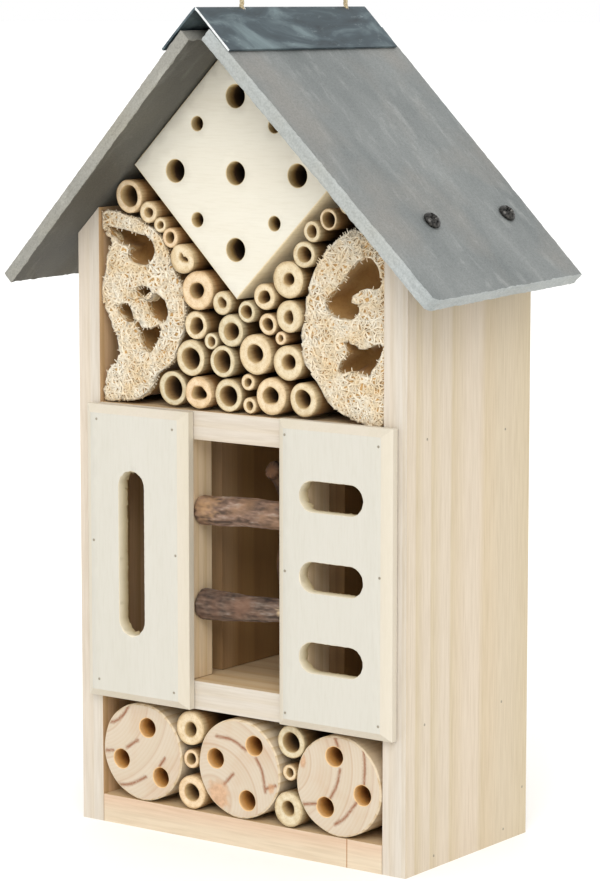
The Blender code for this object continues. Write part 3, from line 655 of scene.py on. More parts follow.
def closed_curve(corners, steps):
    """A smooth closed loop through the corners."""
    loop = []
    count = len(corners)
    for k in range(count):
        p0, p1, p2, p3 = (Vector(corners[(k + i - 1) % count]) for i in range(4))
        loop += [spline(p0, p1, p2, p3, step / steps) for step in range(steps)]
    return loop


def open_curve(knots, steps):
    padded = [2 * knots[0] - knots[1], *knots, 2 * knots[-1] - knots[-2]]
    points = []
    for k in range(len(knots) - 1):
        points += [spline(*padded[k : k + 4], step / steps) for step in range(steps)]
    return [*points, knots[-1]]


def spline(p0, p1, p2, p3, t):
    bend = (2 * p0 - 5 * p1 + 4 * p2 - p3) * t * t
    twist = (3 * p1 - p0 - 3 * p2 + p3) * t * t * t
    return (2 * p1 + (p2 - p0) * t + bend + twist) / 2


def offset(loop, distance):
    """The loop moved outward by distance, which may be a number for each point. The loop runs counter-clockwise."""
    moved = []
    count = len(loop)
    for i, point in enumerate(loop):
        along = (loop[(i + 1) % count] - loop[i - 1]).normalized()
        reach = distance[i] if isinstance(distance, list) else distance
        moved.append(point + Vector((along.y, -along.x)) * reach)
    return moved


def within(point, loop):
    inside = False
    x, y = point
    for (x0, y0), (x1, y1) in zip(loop, [*loop[1:], loop[0]]):
        if (y0 > y) != (y1 > y) and x < x0 + (y - y0) / (y1 - y0) * (x1 - x0):
            inside = not inside
    return inside


def scatter(loops, rim, spacing, chance):
    """Points about spacing apart inside the first loop, outside the others and clear of the rim's own points."""
    low = Vector((min(p.x for p in loops[0]), min(p.y for p in loops[0])))
    high = Vector((max(p.x for p in loops[0]), max(p.y for p in loops[0])))
    near = {}
    for p in rim:
        near.setdefault((int(p.x // spacing), int(p.y // spacing)), []).append(p)
    scattered = []
    row = 0
    y = low.y + spacing / 2
    while y < high.y:
        x = low.x + spacing * (0.5 if row % 2 else 1.0)
        while x < high.x:
            point = Vector((x + chance.uniform(-0.3, 0.3) * spacing, y + chance.uniform(-0.3, 0.3) * spacing))
            cell = (int(point.x // spacing), int(point.y // spacing))
            beside = [(cell[0] + i, cell[1] + j) for i in (-1, 0, 1) for j in (-1, 0, 1)]
            around = [q for one in beside for q in near.get(one, [])]
            clear = all((q - point).length > 0.6 * spacing for q in around)
            if clear and within(point, loops[0]) and not any(within(point, hole) for hole in loops[1:]):
                scattered.append(point)
            x += spacing
        y += spacing * 0.87
        row += 1
    return scattered


def fill(loops, spacing, chance):
    """Points scattered between an outer loop and the loops inside it, and the triangles that join them all.

    The loops' own points come first, in their order.
    """
    rim = [Vector(p) for loop in loops for p in loop]
    edges = []
    for loop in loops:
        first = len(edges)
        edges += [(first + i, first + (i + 1) % len(loop)) for i in range(len(loop))]
    points = rim + (scatter(loops, rim, spacing, chance) if spacing else [])
    places, _, triangles, origins, _, _ = delaunay_2d_cdt(points, edges, [], 0, 1e-8)
    number = []
    for place, origin in zip(places, origins):
        if origin:
            number.append(origin[0])
        else:
            # Two loops cross here, so the crossing is a point of its own.
            number.append(len(points))
            points.append(place)
    kept = []
    for triangle in triangles:
        middle = sum((places[i] for i in triangle), Vector((0, 0))) / 3
        if within(middle, loops[0]) and not any(within(middle, hole) for hole in loops[1:]):
            kept.append(tuple(number[i] for i in triangle))
    return points, kept


def carve(name, outer, holes, place, materials, spacing, relief=None, seed=1, crease=38):
    """A solid with a worked face.

    outer and each hole list (loop, depth) from the face inward. A hole that ends at the outer's depth goes
    through, and any other has a floor. place(a, b, depth) says where a point lies. materials are those of the
    face, the outer wall, the back and the holes. relief(a, b) is how far the face dips.
    """
    chance = random.Random(seed)
    loops = [outer[0][0]] + [hole[0][0] for hole in holes]
    flat, triangles = fill(loops, spacing, chance)
    points = [place(p.x, p.y, relief(p.x, p.y) if relief else 0.0) for p in flat]
    faces, skins = list(triangles), [0] * len(triangles)
    depth = outer[-1][1]
    ends = []
    first = 0
    for number, stations in enumerate([outer, *holes]):
        count = len(stations[0][0])
        here = first
        for loop, down in stations[1:]:
            after = len(points)
            points += [place(p.x, p.y, down) for p in loop]
            faces += band(here, after, count)
            skins += [3 if number else 1] * count
            here = after
        if number and stations[-1][1] < depth:
            faces.append(tuple(here + i for i in range(count)))
            skins.append(3)
        else:
            ends.append((here, stations[-1][0]))
        first += count
    flat, triangles = fill([loop for _, loop in ends], 0, chance)
    number = [start + i for start, loop in ends for i in range(len(loop))]
    for p in flat[len(number) :]:
        number.append(len(points))
        points.append(place(p.x, p.y, depth))
    faces += [tuple(number[i] for i in triangle) for triangle in triangles]
    skins += [2] * len(triangles)
    return shape(name, points, faces, materials, skins, crease)


def to_front(front):
    return lambda a, b, depth: Vector((a, front + depth, b))


def eased(loop, rim, depth, outward=1):
    """An edge eased by rim: the loop at the face is drawn in, or a hole's let out."""
    return [(offset(loop, -rim * outward), 0.0), (loop, rim), (loop, depth)]


def tube(path, radius, sides, points, faces):
    """Adds a tube along the path to points and faces. radius(t) is its size from start to end."""
    first = len(points)
    side = None
    for k, here in enumerate(path):
        ahead = (path[min(k + 1, len(path) - 1)] - path[max(k - 1, 0)]).normalized()
        if side is None:
            side = ahead.orthogonal().normalized()
        side = (side - ahead * side.dot(ahead)).normalized()
        other = ahead.cross(side)
        reach = radius(k / (len(path) - 1))
        for i in range(sides):
            angle = 2 * math.pi * i / sides
            points.append(here + (side * math.cos(angle) + other * math.sin(angle)) * reach)
    faces += bands(first, sides, len(path))
    last = first + (len(path) - 1) * sides
    faces.append(tuple(range(first, first + sides)))
    faces.append(tuple(range(last, last + sides)))


# ---------------------------------------------------------------- the hanging loop

CAP_INNER_Z = 371.04
TWINE_FRONT_Y, TWINE_REAR_Y = -44.5, 32.7
TWINE_TOP_Z = 440.0
TWINE_RADIUS = 1.1 * MM


def twine_route():
    """Up through the front hole of the ridge cap, over, and down through the rear one."""
    middle, half = (TWINE_FRONT_Y + TWINE_REAR_Y) / 2, (TWINE_REAR_Y - TWINE_FRONT_Y) / 2
    start = CAP_INNER_Z - 3
    rise = TWINE_TOP_Z - start
    route = [(-1.0, 0.0), (-1.0, 0.09), (-0.93, 0.24), (-0.62, 0.58), (-0.3, 0.87), (0.0, 1.0)]
    route += [(-across, up) for across, up in reversed(route[:-1])]
    knots = [Vector((0, middle + a * half, start + b * rise)) * MM for a, b in route]
    return open_curve(knots, 4)


def hanging_loop(fibre):
    """Three strands laid round each other, with an overhand knot under the cap at each end."""
    route = twine_route()
    length = sum((b - a).length for a, b in zip(route, route[1:]))
    fine = open_curve(route, 6)
    points, faces = [], []
    for strand in range(3):
        path = []
        gone = 0.0
        for k, here in enumerate(fine):
            gone += (here - fine[k - 1]).length if k else 0.0
            ahead = (fine[min(k + 1, len(fine) - 1)] - fine[max(k - 1, 0)]).normalized()
            other = ahead.cross(Vector((1, 0, 0)))
            angle = 2 * math.pi * (gone / (7 * MM) + strand / 3)
            path.append(here + (Vector((1, 0, 0)) * math.cos(angle) + other * math.sin(angle)) * 0.5 * MM)
        tube(path, lambda t: 0.58 * MM, 8, points, faces)
    loop = dress(shape("twine_loop", points, faces, [fibre], crease=80), "twine", "hanging_cord")
    knots = []
    for word, end in (("front", route[0]), ("rear", route[-1])):
        turns = []
        for i in range(49):
            a = 2 * math.pi * i / 48
            turn = Vector((math.sin(a) + 2 * math.sin(2 * a), math.cos(a) - 2 * math.cos(2 * a),
                           -math.sin(3 * a)))
            turns.append(end + Vector((0, 0, -1.4)) * MM + turn * 0.55 * MM)
        points, faces = [], []
        tube(turns, lambda t: 0.8 * MM, 8, points, faces)
        knots.append(dress(shape(f"{word}_twine_knot", points, faces, [fibre], crease=80), "twine"))
    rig.cord(
        loop,
        exit=route[0],
        length=length,
        diameter=2 * TWINE_RADIUS,
        far_end="object",
        stiffness="limp",
        lay="taut",
        path=route,
        with_pieces=knots,
    )


# ---------------------------------------------------------------- the case

# Each board: its grain's direction, its pith, its two colours, then which way the face inside the case looks.
BOARDS = {
    "left_side": ("Z", (-0.30, 0.06, 0), "D1C4B0", "CABB9F", (1, 0, 0)),
    "right_side": ("Z", (0.22, 0.03, 0), "D1C3AF", "C8B89B", (-1, 0, 0)),
    "back_board": ("Z", (0.02, 0.19, 0), "D3C3AA", "C7B391", (0, -1, 0)),
    "lower_shelf": ("X", (0, -0.02, 0.19), "D9CBB8", "D3C3AA", (0, 0, 1)),
    "upper_shelf": ("X", (0, 0.03, 0.32), "D9CBB8", "D3C3AA", (0, 0, 1)),
    "left_post": ("Z", (-0.06, -0.17, 0), "E3CCAA", "D8BE94", None),
    "right_post": ("Z", (0.10, -0.16, 0), "E3CCAA", "D8BE94", None),
    # The partitions' two colours are a deep brown, as painted shade for the dim bay.
    "left_partition": ("Z", (-0.15, 0.05, 0), "9C7A4E", "8E6C44", None),
    "right_partition": ("Z", (0.16, -0.04, 0), "9C7A4E", "8E6C44", None),
}


def dress_board(name, wood, edge, inside, inward):
    """A packed board keeps its shape. Its arrises are eased, its front edge is painted paler on the sides and shelves
    as painted light, and its inside is unplaned, darkened on the back board as painted shade.
    """
    node = frame["nodes"][name]
    node.data.materials.clear()
    for one in (wood, edge, inside):
        node.data.materials.append(one)
    for face in node.data.polygons:
        face.material_index = 1 if face.normal.y < -0.9 else 0
        if inward and face.normal.dot(Vector(inward)) > 0.9:
            face.material_index = 2
    ease = node.modifiers.new("eased_arrises", "BEVEL")
    ease.width = 0.5 * MM
    ease.segments = 2
    ease.limit_method = "ANGLE"
    ease.angle_limit = math.radians(30)


def dress_case():
    walls = pine("unplaned_pine_walls", "Z", (0.1, -0.2, 0), "D2B088", "C09C6E")
    # Painted shade: the back board's inside face is darkened to brown.
    back = pine("shade_darkened_pine_back", "Z", (0.02, 0.19, 0), "9A7A52", "8A6840")
    shelf = pine("unplaned_pine_shelf", "X", (0, 0.1, 0.3), "D9BF98", "CCAC80")
    for name, (along, pith, early, late, inward) in BOARDS.items():
        inside = {"back_board": back, "lower_shelf": shelf, "upper_shelf": shelf}.get(name, walls)
        planed = pine(f"planed_pine_{name}", along, pith, early, late)
        edge = planed
        # Painted light: the front edges of the sides and shelves take a paler finish.
        if name.endswith(("side", "shelf")):
            edge = pine(f"painted_light_pine_edge_{name}", along, pith, "CEC5B8", "CBC0AF")
        dress_board(name, planed, edge, inside, inward)
    bottom = pine(
        "finger_jointed_pine", "X", (0, 0.02, -0.035), "D5C4AB", "D0B398", 7 * MM, stain="D6B79F", joint=59.2 * MM
    )
    dress_board("bottom_board", bottom, bottom, shelf, (0, 0, 1))


# ---------------------------------------------------------------- the front panels

LEFT_PANEL_BRADS = [(-74.5, 187.8), (-31.1, 186.2), (-76.6, 132.3), (-29.5, 129.8), (-74.1, 68.4),
                    (-30.8, 67.4)]
RIGHT_PANEL_BRADS = [(30.8, 189.0), (80.1, 187.8), (30.9, 129.4), (80.9, 131.5), (31.0, 66.5), (80.4, 67.0)]
SIDE_BRADS = [(-33.3, 189.3), (28.5, 187.0), (-34.2, 65.2), (27.2, 64.4), (-26.5, 5.5), (29.6, 5.5),
              (45.1, 21.9)]
PANEL_CHAMFER_DEPTH = 3.1 * MM
PANEL_SIDE_CHAMFER = 4.2 * MM
PANEL_END_CHAMFER = 3.6 * MM


def slot_loop(centre, length, width, upright, tear, seed):
    """A sawn slot with round ends; tear is how far the saw has wandered."""
    radius = width / 2
    reach = length / 2 - radius
    loop = []
    for end in (1, -1):
        for i in range(17):
            angle = math.pi * (i / 16 - 0.5) + (0 if end > 0 else math.pi)
            loop.append(Vector((reach * end + radius * math.cos(angle), radius * math.sin(angle))))
    loop = finer(loop, 1.2 * MM)
    if upright:
        loop = [Vector((-b, a)) for a, b in loop]
    wandered = []
    for point in loop:
        wander = noise.noise(Vector((point.x, point.y, 0)) * 700 + Vector((seed, 0, 0)))
        wandered.append(Vector(centre) + point * (1 + wander * tear / radius * 0.5))
    return wandered


def front_panel(name, slots, skins):
    low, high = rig.box(name)
    depth = high.y - low.y
    edge = finer([(low.x, low.z), (high.x, low.z), (high.x, high.z), (low.x, high.z)], 4 * MM)
    middle = front_centre(low, high)
    shrink = (
        1 - 2 * PANEL_SIDE_CHAMFER / (high.x - low.x),
        1 - 2 * PANEL_END_CHAMFER / (high.z - low.z),
    )
    face = [middle + Vector(((p.x - middle.x) * shrink[0], (p.y - middle.y) * shrink[1])) for p in edge]
    outer = [(face, 0.0), (edge, PANEL_CHAMFER_DEPTH), (edge, depth - 0.3 * MM),
             (offset(edge, -0.3 * MM), depth)]
    holes = []
    for number, (centre, length, width, upright) in enumerate(slots):
        front = slot_loop(centre, length, width, upright, 0.25 * MM, number)
        torn = slot_loop(centre, length + 0.5 * MM, width + 0.5 * MM, upright, 0.3 * MM, number + 5)
        back = slot_loop(centre, length + 0.6 * MM, width + 0.6 * MM, upright, 1.2 * MM, number + 9)
        holes.append([(torn, 0.0), (front, 0.4 * MM), (front, 0.7 * depth), (back, depth)])
    ripple = lambda a, b: 0.05 * MM * (1 + noise.noise(Vector((a * 60, b * 60, 3))))
    panel = carve(name + "_board", outer, holes, to_front(low.y), skins, 4 * MM, ripple)
    return dress(panel, "panel_board", name)


def brads(name, spots, place, steel):
    """Small domed nail heads, one mesh for each board."""
    points, faces = [], []
    profile = [(0.62, -0.6), (0.62, 0.0), (0.5, 0.05), (0.28, 0.08), (0.06, 0.09)]
    for a, b in spots:
        first = len(points)
        for radius, proud in profile:
            for p in circle((a * MM, b * MM), radius * MM, 12):
                points.append(place(p.x, p.y, -proud * MM))
        faces += bands(first, 12, len(profile))
        faces.append(tuple(range(first, first + 12)))
        faces.append(tuple(range(len(points) - 12, len(points))))
    dress(shape(name, points, faces, [steel]), "screw_steel")


def front_panels(steel):
    veneer = poplar_veneer("sanded_poplar_veneer", "CAC6BB", "C7C3B7", "Z", 0.14)
    core = poplar_veneer("poplar_plywood_core", "D1C8B9", "CDC4B1", "Z", 0.12)
    # Painted shade: the slot walls darken a little further in.
    sawn = drill_wall("sawn_slot_wall", -55.6 * MM, 7 * MM, [(0.0, "DDD3BC"), (0.6, "D2C4A2"),
                                                             (1.0, "BFA97E")])
    skins = [veneer, core, veneer, sawn]
    front_panel("left_panel", [((-54.7 * MM, 128.0 * MM), 75 * MM, 14.4 * MM, True)], skins)
    slots = [((55.4 * MM, z * MM), 33.4 * MM, 13.4 * MM, False) for z in (163.3, 128.0, 92.7)]
    front_panel("right_panel", slots, skins)
    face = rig.box("left_panel")[0].y
    brads("left_panel_brads", LEFT_PANEL_BRADS, to_front(face), steel)
    brads("right_panel_brads", RIGHT_PANEL_BRADS, to_front(face), steel)
    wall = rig.box("right_side")[1].x
    brads("right_side_brads", SIDE_BRADS, lambda a, b, depth: Vector((wall - depth, a, b)), steel)
    brads("left_side_brads", SIDE_BRADS, lambda a, b, depth: Vector((-wall + depth, a, b)), steel)


# ---------------------------------------------------------------- the drilled block and the log slices

BLOCK_HOLES_CENTRE = Vector((-0.8 * MM, 300.2 * MM))
BLOCK_HOLE_DEPTH = 60 * MM
LOG_HOLE_RADIUS = 4.5 * MM
LOG_HOLE_DEPTH = 60 * MM


def drilled_block():
    low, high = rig.box("drilled_block")
    centre = front_centre(low, high)
    half = (high.x - low.x) / 2
    corners = [centre + Vector(way) * half for way in ((1, 0), (0, 1), (-1, 0), (0, -1))]
    loop = finer(corners, 3 * MM)
    veneer = poplar_veneer("sanded_poplar_block", "DFDACB", "DBD4C3", "X", 0.16)
    side = poplar_veneer("planed_poplar_side", "EBD9B5", "DECBA4", "Y", 0.4)
    # Painted shade: the block's holes darken to near black further in.
    wall = drill_wall(
        "drilled_poplar_wall", -48.5 * MM, 12 * MM, [(0.0, "D6C297"), (0.3, "A2834F"), (0.55, "46311C"),
                                                     (1.0, "1A120A")]
    )
    arm, slant = 33.3 * MM, 21 * MM
    wide = [(0, 0), (arm, 0), (-arm, 0), (0, arm), (0, -arm)]
    narrow = [(slant, slant), (-slant, slant), (slant, -slant), (-slant, -slant)]
    holes = []
    for radius, spots in ((5.1 * MM, wide), (3.2 * MM, narrow)):
        for spot in spots:
            ring = circle(BLOCK_HOLES_CENTRE + Vector(spot), radius, 40)
            holes.append(eased(ring, 0.25 * MM, BLOCK_HOLE_DEPTH, outward=-1))
    outer = eased(loop, 0.5 * MM, high.y - low.y)
    block = carve(
        "block", outer, holes, to_front(low.y), [veneer, side, veneer, wall], 4 * MM,
        lambda a, b: 0.06 * MM * (1 + noise.noise(Vector((a * 90, b * 90, 7)))), crease=50,
    )
    dress(block, "panel_board", "drilled_block")


# Each log: its holes from its centre, its pith, ring spacing and phase, then its knots and cracks.
LOG_SLICES = {
    "log_left": {
        "holes": [(3.1, 11.7), (-12.1, -4.7), (10.7, -10.3)],
        "pith": (-84.0, 62.0), "ring": 11.5, "phase": 0.4,
        "knots": [],
        "cracks": [[(-75.0, 47.2), (-70.6, 47.8), (-65.4, 51.8), (-62.4, 56.0)],
                   [(-63.4, 36.8), (-57.2, 40.9)],
                   [(-69.4, 18.3), (-61.3, 19.9), (-52.6, 24.4)], [(-44.6, 30.5), (-41.6, 34.6)],
                   [(-76.4, 33.3), (-71.6, 34.2)]],
    },
    "log_middle": {
        "holes": [(8.6, 11.7), (-13.0, 3.1), (4.7, -13.7)],
        "pith": (-14.4, 20.0), "ring": 14.5, "phase": 1.2,
        "knots": [(-11.0, 21.8, 6.2, 7.4), (18.4, 29.6, 1.8, 2.6)],
        "cracks": [[(-12.2, 48.9), (-3.2, 48.4), (4.6, 44.7)], [(10.0, 42.0), (13.4, 36.3), (15.2, 27.3)],
                   [(-2.6, 33.0), (-7.8, 27.6)], [(15.8, 29.0), (20.8, 31.0)]],
    },
    "log_right": {
        "holes": [(-2.1, 13.0), (-6.9, -10.2), (12.9, -2.1)],
        "pith": (23.6, 44.0), "ring": 11.0, "phase": 2.6,
        "knots": [(35.8, 44.4, 1.8, 3.0)],
        "cracks": [[(68.0, 53.6), (68.8, 47.5), (68.4, 38.4)], [(55.8, 43.4), (53.8, 35.7), (50.2, 29.6)],
                   [(64.8, 30.3), (58.4, 22.3), (53.2, 18.5)], [(35.2, 24.9), (43.2, 26.3)],
                   [(53.0, 57.0), (54.6, 53.4)]],
    },
}


def along_line(point, line):
    """The distance from a point to a line of points."""
    best = 1.0
    for a, b in zip(line, line[1:]):
        run = b - a
        t = max(0.0, min(1.0, (point - a).dot(run) / run.length_squared))
        best = min(best, (a + run * t - point).length)
    return best


def log_slice(name, facts, wall, hole_wall):
    low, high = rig.box(name)
    centre = front_centre(low, high)
    radius = (high.x - low.x) / 2
    cracks = [open_curve([Vector(p) * MM for p in line], 5) for line in facts["cracks"]]

    def worn(a, b):
        """Shallow saw marks, and a groove along each crack."""
        here = Vector((a, b))
        near = min(along_line(here, line) for line in cracks)
        groove = max(0.0, 1 - near / (0.8 * MM)) * 0.4 * MM
        return groove + 0.08 * MM * (1 + noise.noise(Vector((a * 300, b * 60, 1))))

    loop = circle(centre, radius * 0.995, 96, ((2, 0.006, 0.4), (5, 0.004, 1.0), (9, 0.003, 2.0)))
    holes = []
    for number, spot in enumerate(facts["holes"]):
        ring = circle(centre + Vector(spot) * MM, LOG_HOLE_RADIUS, 36, ((2, 0.02, number), (7, 0.008, 1.0)))
        holes.append(eased(ring, 0.3 * MM, LOG_HOLE_DEPTH, outward=-1))
    outer = eased(loop, 0.7 * MM, high.y - low.y)
    face = turned_log_end(f"sawn_pine_{name}", [p * MM for p in facts["pith"]], facts["ring"] * MM,
                          facts["phase"])
    log = carve(name + "_slice", outer, holes, to_front(low.y), [face, wall, face, hole_wall], 0.85 * MM,
                worn)
    crack_shades, knots = [], []
    for vertex in log.data.vertices:
        here = Vector((vertex.co.x, vertex.co.z))
        near = min(along_line(here, line) for line in cracks)
        # Painted shade along the cracks, on the face only.
        crack_shades.append(max(0.0, min(1.0, 1.25 - near / (0.85 * MM))) if vertex.co.y < low.y + 2 * MM else 0.0)
        reach = 0.0
        for x, z, across, up in facts["knots"]:
            away = Vector(((here.x - x * MM) / (across * MM), (here.y - z * MM) / (up * MM)))
            ragged = 0.35 * noise.noise(Vector((here.x, here.y, 0)) * 350)
            reach = max(reach, min(1.0, (1.15 - away.length + ragged) * 2.2))
        knots.append(max(0.0, reach) * 0.75)
    mark(log, "scar", crack_shades)
    mark(log, "knot", knots)
    dress(log, "log_wood", name)


def log_slices():
    wall = pine("turned_pine_round", "Y", (0.03, 0, 0.01), "D6C5A9", "C2AA84", 4 * MM)
    # Painted shade: the logs' holes darken to deep brown further in.
    hole_wall = drill_wall(
        "drilled_pine_wall", -49 * MM, 16 * MM, [(0.0, "E2BC86"), (0.22, "C9944E"), (0.55, "86521E"),
                                                 (1.0, "3E240C")]
    )
    for name, facts in LOG_SLICES.items():
        log_slice(name, facts, wall, hole_wall)


# ---------------------------------------------------------------- the reeds

# The bore of each packed cane, in millimetres, and how uneven it is.
BORES = [9.5, 4.4, 4.8, 3.4, 7.2, 4.4, 5.8, 7.2, 7.8, 9.6, 9.4, 8.0, 5.8, 5.4, 6.8, 5.2, 6.6, 5.4, 5.2, 6.8,
         10.2, 6.8,
         9.2, 7.8, 8.0, 6.4, 7.8, 8.8, 6.4, 5.0]
UNEVEN = {4: 0.36, 6: 0.08, 8: 0.05, 13: 0.05, 19: 0.06, 22: 0.12, 24: 0.04}
# Thin reeds pushed in between the others: x, z, outer diameter and bore.
THIN_REEDS = [(-43.2, 276.0, 7.0, 3.3), (-14.9, 226.0, 7.6, 4.0), (58.6, 289.6, 10.4, 5.6),
              (23.0, 229.6, 6.2, 2.6),
              (5.1, 209.2, 7.6, 3.6), (5.9, 199.0, 7.6, 3.6), (27.3, 37.6, 7.6, 3.8)]
REED_BACK_Y = 39.5 * MM


def reed(name, centre, outer, bore, front, uneven, seed, skins):
    """A sawn stalk: a wall of uneven thickness round an off-centre bore, its rim lightly rounded."""
    chance = random.Random(seed)
    sides = 44
    turns = [chance.uniform(0, 6.3) for _ in range(6)]
    skin_lumps = ((2, 0.014, turns[0]), (3, 0.008, turns[1]), (7, 0.003, turns[2]))
    bore_lumps = ((2, 0.045 + uneven, turns[3]), (3, 0.02 + 0.5 * uneven, turns[4]),
                  (5, 0.006 + 0.3 * uneven, turns[5]))
    wall = (outer - bore) / 2
    shift = Vector((chance.uniform(-1, 1), chance.uniform(-1, 1))) * 0.12 * wall
    slope = Vector((chance.uniform(-1, 1), chance.uniform(-1, 1))) * 0.03
    stations = [
        (outer / 2, REED_BACK_Y, 0, 1.0), (outer / 2, front + 0.45 * MM, 0, 1.0),
        (outer / 2 - 0.12 * MM, front + 0.14 * MM, 0, 1.0),
        (outer / 2 - 0.4 * MM, front, 1, 0.9), (outer / 2 - 0.35 * wall, front - 0.02 * MM, 1, 0.65),
        (outer / 2 - 0.75 * wall, front + 0.02 * MM, 1, 0.25),
        (bore / 2 + 0.15 * MM, front + 0.08 * MM, 1, 0.05),
        (bore / 2, front + 0.4 * MM, 2, 0.0), (bore / 2 * 0.97, front + 6 * MM, 2, 0.0),
        (bore / 2 * 0.92, front + 16 * MM, 2, 0.0), (bore / 2 * 0.94, REED_BACK_Y, 2, 0.0),
    ]
    points, faces, skin, across = [], [], [], []
    for radius, y, _, share in stations:
        blend = 1 - share
        lumps = [(m, h * share, w) for m, h, w in skin_lumps]
        lumps += [(m, h * blend, w) for m, h, w in bore_lumps]
        for p in circle(Vector(centre) + shift * blend, radius / (1.025 if share == 1.0 else 1.0), sides,
                        lumps):
            away = p - Vector(centre)
            saw = 0.0
            if y < REED_BACK_Y:
                saw = slope.dot(away) + 0.07 * MM * noise.noise(Vector((p.x, p.y, seed)) * 900)
            points.append(Vector((p.x, y + saw, p.y)))
            across.append(share)
    count = len(stations)
    for k in range(count):
        faces += band(k * sides, (k + 1) % count * sides, sides)
        skin += [stations[k][2] if k < count - 1 else 1] * sides
    made = shape(name, points, faces, skins, skin, crease=60)
    mark(made, "across", across)
    mark(made, "stalk", [chance.random()] * len(points))
    return made


def reeds():
    skins = [reed_skin(), reed_cut(), reed_bore()]
    for number, bore in enumerate(BORES, 1):
        node = f"cane_{number:02d}"
        low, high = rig.box(node)
        uneven = UNEVEN.get(number, 0.0)
        across = high.x - low.x
        centre = front_centre(low, high)
        made = reed(f"reed_{number:02d}", centre, across, bore * MM, low.y, uneven, number, skins)
        dress(made, "cane", node)
    for number, (x, z, outer, bore) in enumerate(THIN_REEDS, 1):
        front = (-48.2 + 0.13 * number) * MM
        made = reed(f"thin_reed_{number}", (x * MM, z * MM), outer * MM, bore * MM, front, 0.03,
                    50 + number, skins)
        dress(made, "cane")


# ---------------------------------------------------------------- the loofah

LOOFAH_FRONT = -47.0 * MM
SIDE_INNER_X = 77.6 * MM
SHELF_TOP_Z = 195.0 * MM
LOOFAHS = {
    "left_loofah": {
        "outline": [(-76.8, 280.5), (-70.5, 281.2), (-63.7, 279.5), (-55.7, 277.5), (-47.5, 273.5),
                    (-42, 267.5), (-38.2, 259.5),
                    (-34.8, 253), (-31.8, 247.5), (-30.6, 239.6), (-31, 231), (-33.6, 225), (-36.5, 217),
                    (-41, 212.8),
                    (-46, 209.6), (-49, 203.9), (-56.4, 197.6), (-67.9, 195.8), (-77.4, 196.4), (-75, 208),
                    (-69.4, 214),
                    (-68.2, 220.5), (-70.8, 226.6), (-74, 233.5), (-77, 239.6), (-77.4, 247.6),
                    (-75.2, 255), (-74.6, 261.2),
                    (-71.5, 266.5), (-75.8, 271.5), (-77.2, 276)],
        "chambers": [
            [(-74.2, 274.2), (-69.4, 273.3), (-61.5, 272.2), (-53.5, 270.8), (-48.8, 268.1), (-47.4, 263.7),
             (-49.3, 259.7),
             (-54.5, 257.7), (-59.9, 258.5), (-62.7, 261.2), (-62.4, 264.8), (-67.8, 267), (-71.5, 269.9)],
            [(-58, 246.4), (-55.4, 248.1), (-51.5, 247.7), (-50.1, 246), (-51.7, 243.5), (-56, 242.8)],
            [(-52.1, 241.4), (-50.4, 244), (-46.4, 245), (-42.8, 243.3), (-40.6, 239.9), (-40.6, 235.4),
             (-42.9, 232.5),
             (-46.2, 233.2), (-48.7, 235), (-51.3, 237.5)],
            [(-68.6, 236.9), (-66.3, 239.7), (-62.9, 239.5), (-61, 236.9), (-60, 233.4), (-61.5, 231.7),
             (-65.3, 232.7)],
            [(-58.6, 232.2), (-54.8, 229.6), (-50.5, 229.1), (-45.2, 230.8), (-44.6, 228), (-46.4, 223.4),
             (-49.8, 219),
             (-52.3, 219), (-55.1, 222), (-57.5, 226.9)],
        ],
        "comb": (1.9, 3.1),
    },
    "right_loofah": {
        "outline": [(76.9, 268), (72, 273.3), (67.5, 276.5), (60.5, 278.2), (54.5, 275), (48.5, 270.6),
                    (43.4, 264.5), (39.2, 257),
                    (36.4, 248.5), (35.4, 240), (33.2, 231), (34.4, 221.7), (38.5, 215.2), (43, 210.2),
                    (47.5, 203.8),
                    (53.6, 199.6), (63, 196.2), (76.7, 196.4), (77.2, 232)],
        "chambers": [
            [(56.1, 257.6), (60.5, 262.6), (64.8, 265.6), (69.7, 266.2), (72.4, 264), (74.2, 260.2),
             (75, 255.4), (72.5, 253.4),
             (67.9, 253.5), (63.6, 252.1), (59.9, 249.7), (59.5, 247), (63, 246.1), (63.8, 243.4),
             (61.2, 240.5),
             (57.6, 239.6), (51.4, 240.4), (47.5, 243), (46.4, 246.5), (48.5, 249.6), (52.4, 253.2)],
            [(56.3, 229.7), (60.8, 228.9), (65.1, 227.1), (70, 228.7), (75, 230), (75.6, 226.8),
             (73.2, 222.9), (70.6, 218.7),
             (68.2, 215.8), (64.9, 216.5), (60, 217.8), (54.8, 216.2), (52.8, 217.9), (54.8, 221.7),
             (57.7, 225.2)],
        ],
        "comb": (0.9, 2.6),
    },
}


